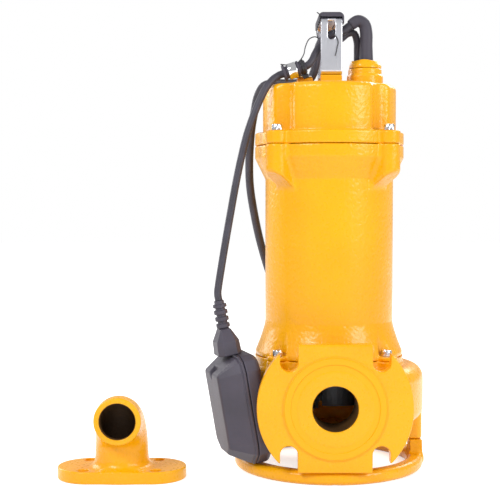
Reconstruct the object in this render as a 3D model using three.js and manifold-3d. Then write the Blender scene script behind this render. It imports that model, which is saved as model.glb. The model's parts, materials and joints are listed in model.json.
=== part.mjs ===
// A submersible sewage pump with a float switch, and its hose elbow standing loose beside it.
// Millimetres, +Z up. Everything is laid out from the pump's axis (x = y = 0) with the floor at z = 0 and
// the discharge towards -Y; the whole group is then moved so that the origin is under the middle of the
// object, its free cords left out.
import * as THREE from 'three';
import { mergeVertices } from 'three/addons/utils/BufferGeometryUtils.js';
import Module from 'manifold-3d';

const wasm = await Module();
wasm.setup();

// ---------------------------------------------------------------------------------------------
// Driving dimensions
// ---------------------------------------------------------------------------------------------

const GAP = 0.3; // between pieces that touch
const ROUND = 32; // sides of a large turned piece
const INSIDE_ROUND = 16; // sides of a large piece that is out of sight
const SMALL_ROUND = 16; // sides of a small turned piece
const LUG_ROUND = 12; // sides of a lug, or of a pocket round a bolt
const HOLE_ROUND = 8; // sides of a screw or its hole
const CORNERS = [45, 135, 225, 315]; // degrees, where the bolts stand

// Foot ring
const RING_R = 97;
const RING_WIDTH = 16;
const RING_HEIGHT = 13;
const RING_ROUNDING = 5;
const LEG_HEIGHT = 14;
const LEG_DEPTH = 14;
const LEG_WIDTH = 20;
const LEG_ANGLES = [0, 75, 150]; // degrees; the fourth support is the discharge flange's lower edge
const FLANGE_FOOT_ANGLE = 270;
const BASE_SCREW_THREAD_R = 2.5;
const BASE_SCREW_HEAD_R = 4.25;
const BASE_SCREW_HEAD_H = 5;
const BASE_SCREW_SINK = 3; // the head's lowest point above the floor
const BASE_SCREW_GRIP = 10; // how far a thread reaches into the casing

// Volute casing
const VOLUTE_HEIGHT = 88;
const VOLUTE_R = 78;
const VOLUTE_TOP_R = 76;
const VOLUTE_BULGE = 19; // how far the spiral grows past the plain wall
const VOLUTE_WALL = 8;
const EYE_R = 31;
const CHAMBER_R = 64;
const SPIRAL_START = 200; // degrees, where the spiral begins
const SPIRAL_FULL = 0; // degrees, where it has grown fully
const SPIRAL_END = -70; // degrees, where it runs into the neck

// Discharge flange
const FLANGE_FACE_Y = -100;
const FLANGE_THICK = 14;
const FLANGE_R = 75;
const FLANGE_Z = 75;
const FLANGE_HALF_HEIGHT = 61.6;
const BOLT_CIRCLE_R = 62.5;
const SLOT_WIDTH = 17;
const BORE_R = 22;
const NECK_R = 36;
const RIDGE_INNER_R = 42.5;
const RIDGE_OUTER_R = 48.75;
const RIDGE_HEIGHT = 0.8;

// Motor housing
const HOUSING_HEIGHT = 213.7;
const HOUSING_R = 65.5;
const HOUSING_WALL = 6;
const FLARE_R = 75.6;
const FLARE_HEIGHT = 35;
const FLANGE_LIP_R = 76; // the round part of the housing's and the cover's flanges
const HOUSING_FLANGE_H = 12.4;
const CONE_HEIGHT = 21.9;
const LUG_R = 11;
const COVER_BOLT_R = 77.8; // how far from the axis the cover bolts stand
const HOUSING_BOLT_R = 76;
const BOLT_THREAD_R = 3;
const BOLT_HEAD_R = 5;
const BOLT_HEAD_H = 6;
const BOLT_GRIP = 12;
const HOUSING_LUG_H = 4;
const LUG_DROP = 13.6; // the cover lugs' straight depth below the housing flange
const LUG_SLANT = 16;
const POCKET_R = 9;
const FLOOR_Z = 26.7; // the oil chamber's height above the housing's lower face
const FLOOR_THICK = 8;
const OIL_CHAMBER_R = 60;

// Top cover
const COVER_HEIGHT = 60.7;
const COVER_R = 68;
const COVER_FLANGE_H = 12.7;
const COVER_WALL = 6;
const COVER_ROUNDING = 6;
const SCALLOP_R = 16;
const HANDLE_BOSS_H = 9;
const GLAND_X = 36.5;
const GLAND_BOSS_R = 17;
const GLAND_BOSS_H = 18;
const GLAND_NUT_H = 8.2;
const GLAND_HOLE_R = 12.8;

// Handle
const STRAP_WIDTH = 21.3;
const STRAP_THICK = 3;
const STRAP_SPAN = 63; // over the two legs
const STRAP_HEIGHT = 57.7;
const STRAP_BEND = 9;
const FOOT_LENGTH = 20;
const STRAP_SLOT_W = 7.6;
const STRAP_SLOT_H = 20;
const HANDLE_SCREW_IN = 13; // from a leg's outer face to its screw
const GRIP_WALL = 2;
const GRIP_TOP = 5;
const GRIP_DEPTH = 11;
const GRIP_CLEAR_LEG = 3.5; // from a leg's outer face to the grip's end

// Shaft and bearings
const SHAFT_R = 10;
const SHAFT_TOP_R = 8.5;
const SHAFT_NOSE_R = 8;
const LOWER_BEARING = { outerR: 23.5, innerR: 10, width: 14, wall: 3.6, ball: 2.7 };
const UPPER_BEARING = { outerR: 20, innerR: 8.5, width: 12, wall: 3.2, ball: 2.1 };
const BALLS = 8;
const STATOR_HEIGHT = 80;
const STATOR_SEAT = 65; // the stator's lower face above the housing's lower face
const STATOR_BORE_R = 33;
const AIR_GAP = 1.2;
const STATOR_SLOTS = 6;
const SLOT_BAR_R = 5;
const WINDING_HEIGHT = 22;
const WINDING_OUTER_R = 56;
const WINDING_INNER_R = 37;
const BRACKET_SEAT = 185; // the upper bracket's ledge above the housing's lower face
const BRACKET_THICK = 6;
const BRACKET_BORE_R = 62;
const BRACKET_HUB_R = 25;

// Wet end
const PLATE_SPIGOT_H = 11;
const PLATE_FLANGE_H = 5.7;
const PLATE_FLANGE_R = 68;
const PLATE_BORE_R = 13;
const IMPELLER_R = 56;
const IMPELLER_DISC_H = 5;
const IMPELLER_VANES = 3;
const IMPELLER_VANE_H = 24;
const IMPELLER_VANE_T = 6;
const IMPELLER_TOP = 22; // the disc's top under the casing's top
const NUT_H = 8;
const O_RING_R = 1.4;

// Electrics under the cover
const CAPACITOR_R = 17;
const CAPACITOR_H = 58;
const CAPACITOR_AT = [-28, 8];

// Cable clamp on the cover
const CLAMP_AT = [-39, -30, 403];
const CLAMP_RISE = 18; // degrees the clamp's axis rises towards the handle
const CLAMP_CORD_R = 4.05;
const LINER_R = 6.5;
const LINER_RIM_R = 8.6;
const LINER_LEFT = 9.6;
const LINER_RIGHT = 14;
const BAND_R = 8;
const BAND_WIDTH = 8.5;
const CLAMP_BOSS_AT = [-26, -16.5];
const CLAMP_BOSS_SIZE = [16, 16, 7];

// Cords
const POWER_CORD_R = 4.25;
const FLOAT_CORD_R = 3.75;
const SLEEVE_R = 6.25;
const SLEEVE_H = 31;
const COIL_AT = [12, 175];
const COIL_MEAN_R = 51;
const COIL_TURNS_WIDE = 4;
const TIE_THICK = 0.9;
const TIE_WIDTH = 9;
const TIE_SLACK = 0.5;
const PLUG_R = 17.5;
const PLUG_LENGTH = 44;

// Float switch
const FLOAT_AT = [-94.5, -48.5, 70.1];
const FLOAT_TURN = 196; // degrees the float's outer face is turned about Z
const FLOAT_LEAN = 10; // degrees its top leans outwards
const FLOAT_WIDTH = 80;
const FLOAT_TOP = 52;
const FLOAT_BOTTOM = 58;
const FRONT_SHELL_T = 26;
const BACK_SHELL_T = 16;
const SHELL_WALL = 3;
const SHELL_BEVEL = 7;
const BOOT_HEIGHT = 26;
const NECK_HEIGHT = 28;
const BALL_CAGE_R = 9;
const BALL_CAGE_H = 52;
const BALL_R = 6;
const SWITCH_DEPTH = 10;
const SWITCH_HEIGHT = 15;

// Loose elbow
const ELBOW_AT = [-208, -58];
const ELBOW_PLATE = [127, 65, 12];
const ELBOW_HOLES = [70, 46];
const ELBOW_HOLE_R = 5.5;
const ELBOW_FOOT_R = 27.5;
const ELBOW_MOUTH_R = 22.75;
const ELBOW_WALL = 5.2;
const ELBOW_BEND_R = 35;
const ELBOW_RISE = 15.8; // straight run above the plate
const ELBOW_RUN = 7; // straight run before the mouth

// ---------------------------------------------------------------------------------------------
// Levels worked out from the sizes above
// ---------------------------------------------------------------------------------------------

const VOLUTE_Z = RING_HEIGHT + LEG_HEIGHT;
const VOLUTE_TOP = VOLUTE_Z + VOLUTE_HEIGHT;
const HOUSING_Z = VOLUTE_TOP + GAP;
const HOUSING_TOP = HOUSING_Z + HOUSING_HEIGHT;
const COVER_Z = HOUSING_TOP + GAP;
const COVER_FLANGE_TOP = COVER_Z + COVER_FLANGE_H;
const COVER_TOP = COVER_Z + COVER_HEIGHT;
const HANDLE_Z = COVER_TOP + HANDLE_BOSS_H + GAP;
const STRAP_TOP = HANDLE_Z + STRAP_HEIGHT;
const GLAND_TOP = COVER_TOP + GLAND_BOSS_H;
const PLATE_Z = HOUSING_Z + GAP; // under the seal plate's flange
const FLOOR_LEVEL = HOUSING_Z + FLOOR_Z; // underside of the housing's inner floor
const LOWER_BEARING_Z = FLOOR_LEVEL + FLOOR_THICK;
const STATOR_Z = HOUSING_Z + STATOR_SEAT;
const STATOR_TOP = STATOR_Z + STATOR_HEIGHT;
const BRACKET_Z = HOUSING_Z + BRACKET_SEAT + GAP;
const BRACKET_TOP = BRACKET_Z + BRACKET_THICK;
const UPPER_BEARING_Z = BRACKET_TOP - UPPER_BEARING.width - 3;
const IMPELLER_TOP_Z = VOLUTE_TOP - IMPELLER_TOP;
const RING_MID_R = RING_R - RING_WIDTH / 2;
const BASE_SCREW_R = RING_MID_R + 1;

// ---------------------------------------------------------------------------------------------
// Solids: three.js shapes, joined and cut
// ---------------------------------------------------------------------------------------------

const radians = THREE.MathUtils.degToRad;
const around = (r, degrees) => [r * Math.cos(radians(degrees)), r * Math.sin(radians(degrees))];

// A closed geometry with its vertices merged, as a solid; a shape whose faces point inwards is turned round.
function toSolid(geometry) {
  const bare = (geometry.index ? geometry.toNonIndexed() : geometry).clone();
  bare.deleteAttribute('normal');
  bare.deleteAttribute('uv');
  const merged = mergeVertices(bare, 1e-4);
  const at = merged.attributes.position.array;
  const triangles = [];
  let volume = 0;
  const [a, b, c] = [new THREE.Vector3(), new THREE.Vector3(), new THREE.Vector3()];
  for (let i = 0; i < merged.index.count; i += 3) {
    const [p, q, r] = [0, 1, 2].map((k) => merged.index.getX(i + k));
    if (p === q || q === r || r === p) continue;
    triangles.push(p, q, r);
    volume += a.fromArray(at, 3 * p).dot(b.fromArray(at, 3 * q).cross(c.fromArray(at, 3 * r)));
  }
  if (volume < 0) triangles.reverse();
  return new wasm.Manifold(
    new wasm.Mesh({ numProp: 3, vertProperties: new Float32Array(at), triVerts: new Uint32Array(triangles) }),
  );
}

function toGeometry(solid) {
  const mesh = solid.getMesh();
  const geometry = new THREE.BufferGeometry();
  geometry.setAttribute('position', new THREE.BufferAttribute(new Float32Array(mesh.vertProperties), 3));
  geometry.setIndex(new THREE.BufferAttribute(new Uint32Array(mesh.triVerts), 1));
  return geometry;
}

const join = (...geometries) => toGeometry(geometries.map(toSolid).reduce((all, next) => all.add(next)));
const cut = (body, ...tools) => toGeometry(tools.map(toSolid).reduce((all, tool) => all.subtract(tool), toSolid(body)));
const common = (...geometries) => toGeometry(geometries.map(toSolid).reduce((all, next) => all.intersect(next)));

// Turned about Z from [radius, height] pairs that start and end on the axis.
function turned(profile, sides = ROUND) {
  const points = profile.map(([r, z]) => new THREE.Vector2(r, z));
  return new THREE.LatheGeometry(points, sides).rotateX(Math.PI / 2);
}

// A turned ring: its [radius, height] pairs run once round its section.
const ring = (profile, sides = ROUND) => turned([...profile, profile[0]], sides);

const disc = (r, low, high, sides = ROUND) =>
  turned([[0, low], [r, low], [r, high], [0, high]], sides);

const tube = (inner, outer, low, high, sides = ROUND) =>
  ring([[inner, low], [outer, low], [outer, high], [inner, high]], sides);

// A box from its low and high corners.
function box(low, high) {
  const size = high.map((value, k) => value - low[k]);
  const middle = high.map((value, k) => (value + low[k]) / 2);
  return new THREE.BoxGeometry(...size).translate(...middle);
}

// Points of a quarter or other arc, for a turned profile.
function arc(centreR, centreZ, r, from, to, steps = 4) {
  return Array.from({ length: steps + 1 }, (_, i) => {
    const angle = radians(from + ((to - from) * i) / steps);
    return [centreR + r * Math.cos(angle), centreZ + r * Math.sin(angle)];
  });
}

// A flat outline extruded upwards from z = low.
function raised(shape, low, high, curveSegments = 8) {
  return new THREE.ExtrudeGeometry(shape, { depth: high - low, bevelEnabled: false, curveSegments })
    .translate(0, 0, low);
}

function roundedRectangle(width, height, r) {
  const [x, y] = [width / 2, height / 2];
  const shape = new THREE.Shape();
  shape.moveTo(-x + r, -y);
  shape.lineTo(x - r, -y);
  shape.absarc(x - r, -y + r, r, -Math.PI / 2, 0);
  shape.lineTo(x, y - r);
  shape.absarc(x - r, y - r, r, 0, Math.PI / 2);
  shape.lineTo(-x + r, y);
  shape.absarc(-x + r, y - r, r, Math.PI / 2, Math.PI);
  shape.lineTo(-x, -y + r);
  shape.absarc(-x + r, -y + r, r, Math.PI, 1.5 * Math.PI);
  return shape;
}

const turnedTo = (geometry, degrees) => geometry.rotateZ(radians(degrees));

// A lug that stands out from a round wall: a column with a web inwards.
function lug(distance, r, low, high, degrees, inwards = 24) {
  const web = box([distance - inwards, -r, low], [distance, r, high]);
  return turnedTo(join(disc(r, low, high, LUG_ROUND).translate(distance, 0, 0), web), degrees);
}

const column = (distance, r, low, high, degrees, sides = SMALL_ROUND) =>
  disc(r, low, high, sides).translate(...around(distance, degrees), 0);

// A tube along a smooth curve through chosen points.
function cord(points, r, steps, sides = 8) {
  const curve = new THREE.CatmullRomCurve3(points.map((p) => new THREE.Vector3(...p)), false, 'centripetal');
  const section = new THREE.Shape(
    Array.from({ length: sides }, (_, i) => {
      const angle = (2 * Math.PI * i) / sides;
      return new THREE.Vector2(r * Math.cos(angle), r * Math.sin(angle));
    }),
  );
  return new THREE.ExtrudeGeometry(section, { steps, extrudePath: curve, bevelEnabled: false });
}

// A cylinder along a line from one point towards another.
function rod(from, to, r, sides = SMALL_ROUND) {
  const [a, b] = [new THREE.Vector3(...from), new THREE.Vector3(...to)];
  const along = b.clone().sub(a);
  const turn = new THREE.Quaternion().setFromUnitVectors(new THREE.Vector3(0, 0, 1), along.clone().normalize());
  return disc(r, 0, along.length(), sides).applyQuaternion(turn).translate(...from);
}

// A hexagon-socket screw, its head's underside at z = 0 and its thread downwards.
function screw(threadR, headR, headHeight, length, socketR = headR * 0.5, sides = HOLE_ROUND) {
  const body = turned([[0, -length], [threadR, -length], [threadR, 0], [headR, 0], [headR, headHeight - 0.5],
    [headR - 0.5, headHeight], [0, headHeight]], sides);
  return cut(body, disc(socketR, headHeight * 0.45, headHeight + 1, 6));
}

// ---------------------------------------------------------------------------------------------
// Foot ring and volute
// ---------------------------------------------------------------------------------------------

function baseScrewHole(degrees, high) {
  return [
    column(BASE_SCREW_R, BASE_SCREW_THREAD_R + GAP, -1, high, degrees, HOLE_ROUND),
    column(BASE_SCREW_R, BASE_SCREW_HEAD_R + GAP, -1, BASE_SCREW_SINK + BASE_SCREW_HEAD_H + GAP, degrees, HOLE_ROUND),
  ];
}

function baseRing() {
  const [inner, outer, top, r] = [RING_R - RING_WIDTH, RING_R, RING_HEIGHT, RING_ROUNDING];
  const section = [
    ...arc(outer - r, r, r, -90, 0, 2),
    ...arc(outer - r, top - r, r, 0, 90, 2),
    ...arc(inner + r, top - r, r, 90, 180, 2),
    ...arc(inner + r, r, r, 180, 270, 2),
  ];
  const legMid = RING_MID_R + 1;
  const legs = LEG_ANGLES.map((degrees) =>
    turnedTo(box([legMid - LEG_DEPTH / 2, -LEG_WIDTH / 2, top - r], [legMid + LEG_DEPTH / 2, LEG_WIDTH / 2, VOLUTE_Z - GAP]), degrees));
  const holes = [...LEG_ANGLES, FLANGE_FOOT_ANGLE].flatMap((degrees) => baseScrewHole(degrees, VOLUTE_Z + 1));
  return cut(join(ring(section), ...legs), ...holes);
}

// The spiral's outline: its radius grows evenly from SPIRAL_START round to SPIRAL_FULL.
function spiralOutline(inset) {
  const steps = 18;
  const sweep = SPIRAL_START - SPIRAL_END;
  const points = Array.from({ length: steps + 1 }, (_, i) => {
    const degrees = SPIRAL_START - (sweep * i) / steps;
    const grown = Math.min(1, (SPIRAL_START - degrees) / (SPIRAL_START - SPIRAL_FULL));
    return new THREE.Vector2(...around(VOLUTE_R + VOLUTE_BULGE * grown - inset, degrees));
  });
  return new THREE.Shape([...points, new THREE.Vector2(0, -VOLUTE_R / 2)]);
}

// A band round the casing whose edge is rounded by a bevel; `inset` makes the channel inside it.
function spiralBand(inset) {
  const round = 13;
  const half = 24 - inset;
  return new THREE.ExtrudeGeometry(spiralOutline(inset + round), {
    depth: 2 * (half - round / 2), bevelThickness: round / 2 + 4, bevelSize: round, bevelSegments: 2, curveSegments: 4,
  }).translate(0, 0, FLANGE_Z + 3 - (half - round / 2));
}

// The flange about its bore, from `low` to `high`: a round plate cut straight above and below, with four
// open slots whose rounded ends stand on the bolt circle.
function flangePlate(low, high) {
  const slot = BOLT_CIRCLE_R * Math.SQRT1_2;
  const half = SLOT_WIDTH / 2;
  const plate = common(disc(FLANGE_R, low, high, 48),
    box([-FLANGE_R - 1, -FLANGE_HALF_HEIGHT, low - 1], [FLANGE_R + 1, FLANGE_HALF_HEIGHT, high + 1]));
  const slots = [-1, 1].flatMap((sx) => [-1, 1].flatMap((sy) => {
    const [x, y, end] = [sx * slot, sy * slot, sy * (FLANGE_HALF_HEIGHT + 2)];
    return [
      disc(half, low - 1, high + 1, SMALL_ROUND).translate(x, y, 0),
      box([x - half, Math.min(y, end), low - 1], [x + half, Math.max(y, end), high + 1]),
    ];
  }));
  return cut(plate, ...slots);
}

// Turns a piece made along Z so that its +Z points out of the discharge.
const towardsDischarge = (geometry) => geometry.rotateX(Math.PI / 2).translate(0, 0, FLANGE_Z);

function voluteCasing() {
  const low = VOLUTE_Z;
  const wall = turned([[0, low], [VOLUTE_R - 18, low], [VOLUTE_R - 8, low + 9], [VOLUTE_R - 2, low + 22], [VOLUTE_R, low + 32],
    [VOLUTE_R, VOLUTE_TOP - 12], [VOLUTE_TOP_R, VOLUTE_TOP - 8], [VOLUTE_TOP_R, VOLUTE_TOP], [0, VOLUTE_TOP]]);
  const topLugs = CORNERS.map((degrees) => lug(HOUSING_BOLT_R, LUG_R, VOLUTE_TOP - 20, VOLUTE_TOP, degrees));
  const feet = LEG_ANGLES.map((degrees) => lug(BASE_SCREW_R, LEG_DEPTH / 2, low, low + 34, degrees, 30));
  const flange = towardsDischarge(flangePlate(-FLANGE_FACE_Y - FLANGE_THICK, -FLANGE_FACE_Y));
  const neck = towardsDischarge(disc(NECK_R, CHAMBER_R - 4, -FLANGE_FACE_Y - 1, INSIDE_ROUND));
  const ridge = towardsDischarge(
    tube(RIDGE_INNER_R, RIDGE_OUTER_R, -FLANGE_FACE_Y - 1, -FLANGE_FACE_Y + RIDGE_HEIGHT));
  const body = join(wall, spiralBand(0), ...topLugs, ...feet, neck, flange, ridge);

  const chamber = disc(CHAMBER_R, low + VOLUTE_WALL, VOLUTE_TOP + 1);
  const eye = disc(EYE_R, low - 1, low + VOLUTE_WALL + 1);
  const bore = towardsDischarge(disc(BORE_R, CHAMBER_R - 12, -FLANGE_FACE_Y + 2, INSIDE_ROUND));
  const boltHoles = CORNERS.map((degrees) =>
    column(HOUSING_BOLT_R, BOLT_THREAD_R + GAP, VOLUTE_TOP - BOLT_GRIP - 1, VOLUTE_TOP + 1, degrees, HOLE_ROUND));
  const screwHoles = LEG_ANGLES.map((degrees) =>
    column(BASE_SCREW_R, BASE_SCREW_THREAD_R + GAP, low - 1, low + BASE_SCREW_GRIP + 1, degrees, HOLE_ROUND));
  const footHole = column(BASE_SCREW_R, BASE_SCREW_THREAD_R + GAP, 0, RING_HEIGHT + BASE_SCREW_GRIP + 2, FLANGE_FOOT_ANGLE, 16);
  return cut(body, chamber, spiralBand(VOLUTE_WALL), eye, bore, ...boltHoles, ...screwHoles, footHole);
}

function baseScrew(degrees) {
  const seat = BASE_SCREW_SINK + BASE_SCREW_HEAD_H;
  const end = degrees === FLANGE_FOOT_ANGLE ? RING_HEIGHT + BASE_SCREW_GRIP : VOLUTE_Z + BASE_SCREW_GRIP;
  return screw(BASE_SCREW_THREAD_R, BASE_SCREW_HEAD_R, BASE_SCREW_HEAD_H, end - seat)
    .rotateX(Math.PI).translate(...around(BASE_SCREW_R, degrees), seat);
}

// ---------------------------------------------------------------------------------------------
// Motor housing, cover and their bolts
// ---------------------------------------------------------------------------------------------

// A lug under the housing's upper flange, cut back by a slant to the wall.
function slantedLug(degrees) {
  const foot = HOUSING_TOP - HOUSING_FLANGE_H - LUG_DROP;
  const outline = new THREE.Shape([
    new THREE.Vector2(HOUSING_R - 4, HOUSING_TOP),
    new THREE.Vector2(HOUSING_R - 4, foot - LUG_SLANT),
    new THREE.Vector2(HOUSING_R, foot - LUG_SLANT),
    new THREE.Vector2(COVER_BOLT_R + LUG_R + 1, foot),
    new THREE.Vector2(COVER_BOLT_R + LUG_R + 1, HOUSING_TOP),
  ]);
  const slab = new THREE.ExtrudeGeometry(outline, { depth: 2 * LUG_R + 2, bevelEnabled: false })
    .translate(0, 0, -LUG_R - 1).rotateX(Math.PI / 2);
  const plan = join(disc(LUG_R, foot - LUG_SLANT - 1, HOUSING_TOP, LUG_ROUND).translate(COVER_BOLT_R, 0, 0),
    box([HOUSING_R - 2, -LUG_R, foot - LUG_SLANT - 1], [COVER_BOLT_R, LUG_R, HOUSING_TOP]));
  return turnedTo(common(slab, plan), degrees);
}

function motorHousing() {
  const [low, top] = [HOUSING_Z, HOUSING_TOP];
  const bore = HOUSING_R - HOUSING_WALL;
  const coneTop = top - HOUSING_FLANGE_H;
  const flare = [0, 0.25, 0.5, 0.75, 1].map((t) =>
    [HOUSING_R + (FLARE_R - HOUSING_R) * (1 - t) ** 1.3, low + THREE.MathUtils.lerp(HOUSING_LUG_H, FLARE_HEIGHT, t)]);
  const bearingSeat = LOWER_BEARING.outerR + GAP;
  const shell = ring([
    [PLATE_FLANGE_R + GAP, low],
    [FLARE_R, low], ...flare, [HOUSING_R, coneTop - CONE_HEIGHT], [FLANGE_LIP_R, coneTop], [FLANGE_LIP_R, top],
    [PLATE_FLANGE_R, top], [PLATE_FLANGE_R, top - 2], [BRACKET_BORE_R, top - 2],
    [BRACKET_BORE_R, BRACKET_Z - GAP], [bore, BRACKET_Z - GAP],
    [bore, LOWER_BEARING_Z], [bearingSeat + 6, LOWER_BEARING_Z],
    [bearingSeat + 6, LOWER_BEARING_Z + LOWER_BEARING.width], [bearingSeat, LOWER_BEARING_Z + LOWER_BEARING.width],
    [bearingSeat, LOWER_BEARING_Z - GAP], [SHAFT_R + 6, LOWER_BEARING_Z - GAP], [SHAFT_R + 6, FLOOR_LEVEL],
    [OIL_CHAMBER_R - 2, FLOOR_LEVEL], [OIL_CHAMBER_R, FLOOR_LEVEL - 5], [OIL_CHAMBER_R, PLATE_Z + PLATE_FLANGE_H + GAP],
    [PLATE_FLANGE_R + GAP, PLATE_Z + PLATE_FLANGE_H + GAP],
  ]);
  const upperLugs = CORNERS.map(slantedLug);
  const lowerLugs = CORNERS.map((degrees) => lug(HOUSING_BOLT_R, LUG_R, low, low + HOUSING_LUG_H, degrees, 6));
  const pockets = CORNERS.map((degrees) =>
    column(HOUSING_BOLT_R + 1, POCKET_R, low + HOUSING_LUG_H, low + FLARE_HEIGHT + 8, degrees, LUG_ROUND));
  const upperHoles = CORNERS.map((degrees) =>
    column(COVER_BOLT_R, BOLT_THREAD_R + GAP, top - BOLT_GRIP - 1, top + 1, degrees, HOLE_ROUND));
  const lowerHoles = CORNERS.map((degrees) =>
    column(HOUSING_BOLT_R, BOLT_THREAD_R + GAP, low - 1, low + HOUSING_LUG_H + 1, degrees, HOLE_ROUND));
  const ringSeat = disc(PLATE_FLANGE_R, top - 2, top + 1);
  const plateSeat = disc(PLATE_FLANGE_R + GAP, low - 1, PLATE_Z + PLATE_FLANGE_H + GAP);
  const body = join(cut(join(shell, ...upperLugs), ...pockets), ...lowerLugs);
  return cut(body, ringSeat, plateSeat, ...upperHoles, ...lowerHoles);
}

// A bolt in one corner: its head rests on `seat`, its thread ends at `end`.
const cornerBolt = (distance, seat, end, degrees) =>
  screw(BOLT_THREAD_R, BOLT_HEAD_R, BOLT_HEAD_H, seat + GAP - end).translate(...around(distance, degrees), seat + GAP);

// One of the two raised seats that carry the handle's feet; side is -1 in front and 1 behind.
function handleBoss(side) {
  const outer = STRAP_SPAN / 2;
  const inner = outer - FOOT_LENGTH;
  const [near, far] = side < 0 ? [-outer, -inner] : [inner, outer];
  return box([-STRAP_WIDTH / 2, near, COVER_TOP - COVER_WALL + 1], [STRAP_WIDTH / 2, far, COVER_TOP + HANDLE_BOSS_H]);
}

const handleScrewY = (side) => side * (STRAP_SPAN / 2 - HANDLE_SCREW_IN);

function topCover() {
  const r = COVER_ROUNDING;
  const dome = turned([[0, COVER_Z], [COVER_R, COVER_Z], ...arc(COVER_R - r, COVER_TOP - r, r, 0, 90), [0, COVER_TOP]]);
  const scallops = CORNERS.map((degrees) => column(COVER_BOLT_R, SCALLOP_R, COVER_FLANGE_TOP, COVER_TOP + 1, degrees));
  const flange = join(disc(FLANGE_LIP_R, COVER_Z, COVER_FLANGE_TOP),
    ...CORNERS.map((degrees) => lug(COVER_BOLT_R, LUG_R, COVER_Z, COVER_FLANGE_TOP, degrees)));
  const glandBoss = disc(GLAND_BOSS_R, COVER_TOP - COVER_WALL + 1, GLAND_TOP, SMALL_ROUND).translate(GLAND_X, 0, 0);
  const [bx, by, bz] = CLAMP_BOSS_SIZE;
  const clampBoss = box([-bx / 2, -by / 2, -COVER_WALL + 1], [bx / 2, by / 2, bz]).translate(...CLAMP_BOSS_AT, COVER_TOP);
  const body = join(cut(dome, ...scallops), flange, handleBoss(-1), handleBoss(1), glandBoss, clampBoss);

  const thick = CORNERS.map((degrees) => column(COVER_BOLT_R, SCALLOP_R + COVER_WALL, COVER_Z - 2, COVER_TOP, degrees, LUG_ROUND));
  const cavity = cut(disc(COVER_R - COVER_WALL, COVER_Z - 1, COVER_TOP - COVER_WALL), ...thick);
  const boltHoles = CORNERS.map((degrees) =>
    column(COVER_BOLT_R, BOLT_THREAD_R + GAP, COVER_Z - 1, COVER_FLANGE_TOP + 1, degrees, HOLE_ROUND));
  const screwHoles = [-1, 1].map((side) =>
    disc(BOLT_THREAD_R + GAP, COVER_TOP - 3, COVER_TOP + HANDLE_BOSS_H + 1, HOLE_ROUND).translate(0, handleScrewY(side), 0));
  const clampHole = disc(2 + GAP, COVER_TOP - 1, COVER_TOP + bz + 1, 12).translate(...CLAMP_BOSS_AT, 0);
  const glandHole = join(
    disc(GLAND_HOLE_R, COVER_TOP - 2, GLAND_TOP + 1, SMALL_ROUND),
    disc(7, COVER_TOP - COVER_WALL - 1, COVER_TOP, SMALL_ROUND)).translate(GLAND_X, 0, 0);
  return cut(body, cavity, ...boltHoles, ...screwHoles, clampHole, glandHole);
}

function coverORing() {
  return tube(BRACKET_BORE_R + GAP, PLATE_FLANGE_R - GAP, HOUSING_TOP - 2 + GAP, HOUSING_TOP);
}

function casingORing() {
  const z = PLATE_Z + PLATE_FLANGE_H / 2;
  return ring(arc(PLATE_FLANGE_R - 1.9, z, O_RING_R, 0, 300, 5), INSIDE_ROUND);
}

// ---------------------------------------------------------------------------------------------
// Handle, gland and cable clamp
// ---------------------------------------------------------------------------------------------

// A slab across the handle, made from an outline in y and z.
const acrossHandle = (outline, width) =>
  new THREE.ExtrudeGeometry(outline, { depth: width, bevelEnabled: false, curveSegments: 6 })
    .translate(0, 0, -width / 2).rotateY(Math.PI / 2).rotateX(Math.PI / 2);

// The strap's outline seen from the side, offset inwards by `inset`, with round upper corners.
function strapOutline(inset, low, high) {
  const y = STRAP_SPAN / 2 - inset;
  const r = STRAP_BEND - inset;
  const shape = new THREE.Shape();
  shape.moveTo(-y, low);
  shape.lineTo(y, low);
  shape.lineTo(y, high - r);
  shape.absarc(y - r, high - r, r, 0, Math.PI / 2);
  shape.lineTo(-y + r, high);
  shape.absarc(-y + r, high - r, r, Math.PI / 2, Math.PI);
  return shape;
}

function handleStrap() {
  const inside = acrossHandle(strapOutline(STRAP_THICK, HANDLE_Z + STRAP_THICK, STRAP_TOP - STRAP_THICK), STRAP_WIDTH + 2);
  const footEnd = STRAP_SPAN / 2 - FOOT_LENGTH;
  const between = box([-STRAP_WIDTH, -footEnd, HANDLE_Z - 1], [STRAP_WIDTH, footEnd, HANDLE_Z + STRAP_THICK + 1]);
  const slotTop = STRAP_TOP - STRAP_THICK;
  const r = STRAP_SLOT_W / 2;
  const leg = [-STRAP_SPAN / 2 - 1, -STRAP_SPAN / 2 + STRAP_THICK + 1];
  const slot = join(
    box([-r, leg[0], slotTop - STRAP_SLOT_H + r], [r, leg[1], slotTop - 0.5]),
    rod([0, leg[0], slotTop - STRAP_SLOT_H + r], [0, leg[1], slotTop - STRAP_SLOT_H + r], r, 16));
  const screwHoles = [-1, 1].map((side) =>
    disc(BOLT_THREAD_R + GAP, HANDLE_Z - 1, HANDLE_Z + STRAP_THICK + 1, HOLE_ROUND).translate(0, handleScrewY(side), 0));
  const body = acrossHandle(strapOutline(0, HANDLE_Z, STRAP_TOP), STRAP_WIDTH);
  return cut(body, inside, between, slot, ...screwHoles);
}

// A rubber channel pressed over the strap's top bar.
function handleGrip() {
  const width = STRAP_WIDTH + 2 * (GRIP_WALL + GAP);
  const length = STRAP_SPAN - 2 * GRIP_CLEAR_LEG;
  const top = STRAP_TOP + GRIP_TOP;
  const outline = roundedRectangle(width, GRIP_DEPTH + 8, 5);
  const outer = new THREE.ExtrudeGeometry(outline, { depth: length, bevelEnabled: false, curveSegments: 5 })
    .rotateX(Math.PI / 2).translate(0, length / 2, top - (GRIP_DEPTH + 8) / 2);
  const under = box([-width, -length, top - 30], [width, length, top - GRIP_DEPTH]);
  const y = STRAP_SPAN / 2 + 2;
  const strap = box([-STRAP_WIDTH / 2 - GAP, -y, top - 30], [STRAP_WIDTH / 2 + GAP, y, STRAP_TOP + GAP]);
  return cut(outer, under, strap);
}

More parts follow.
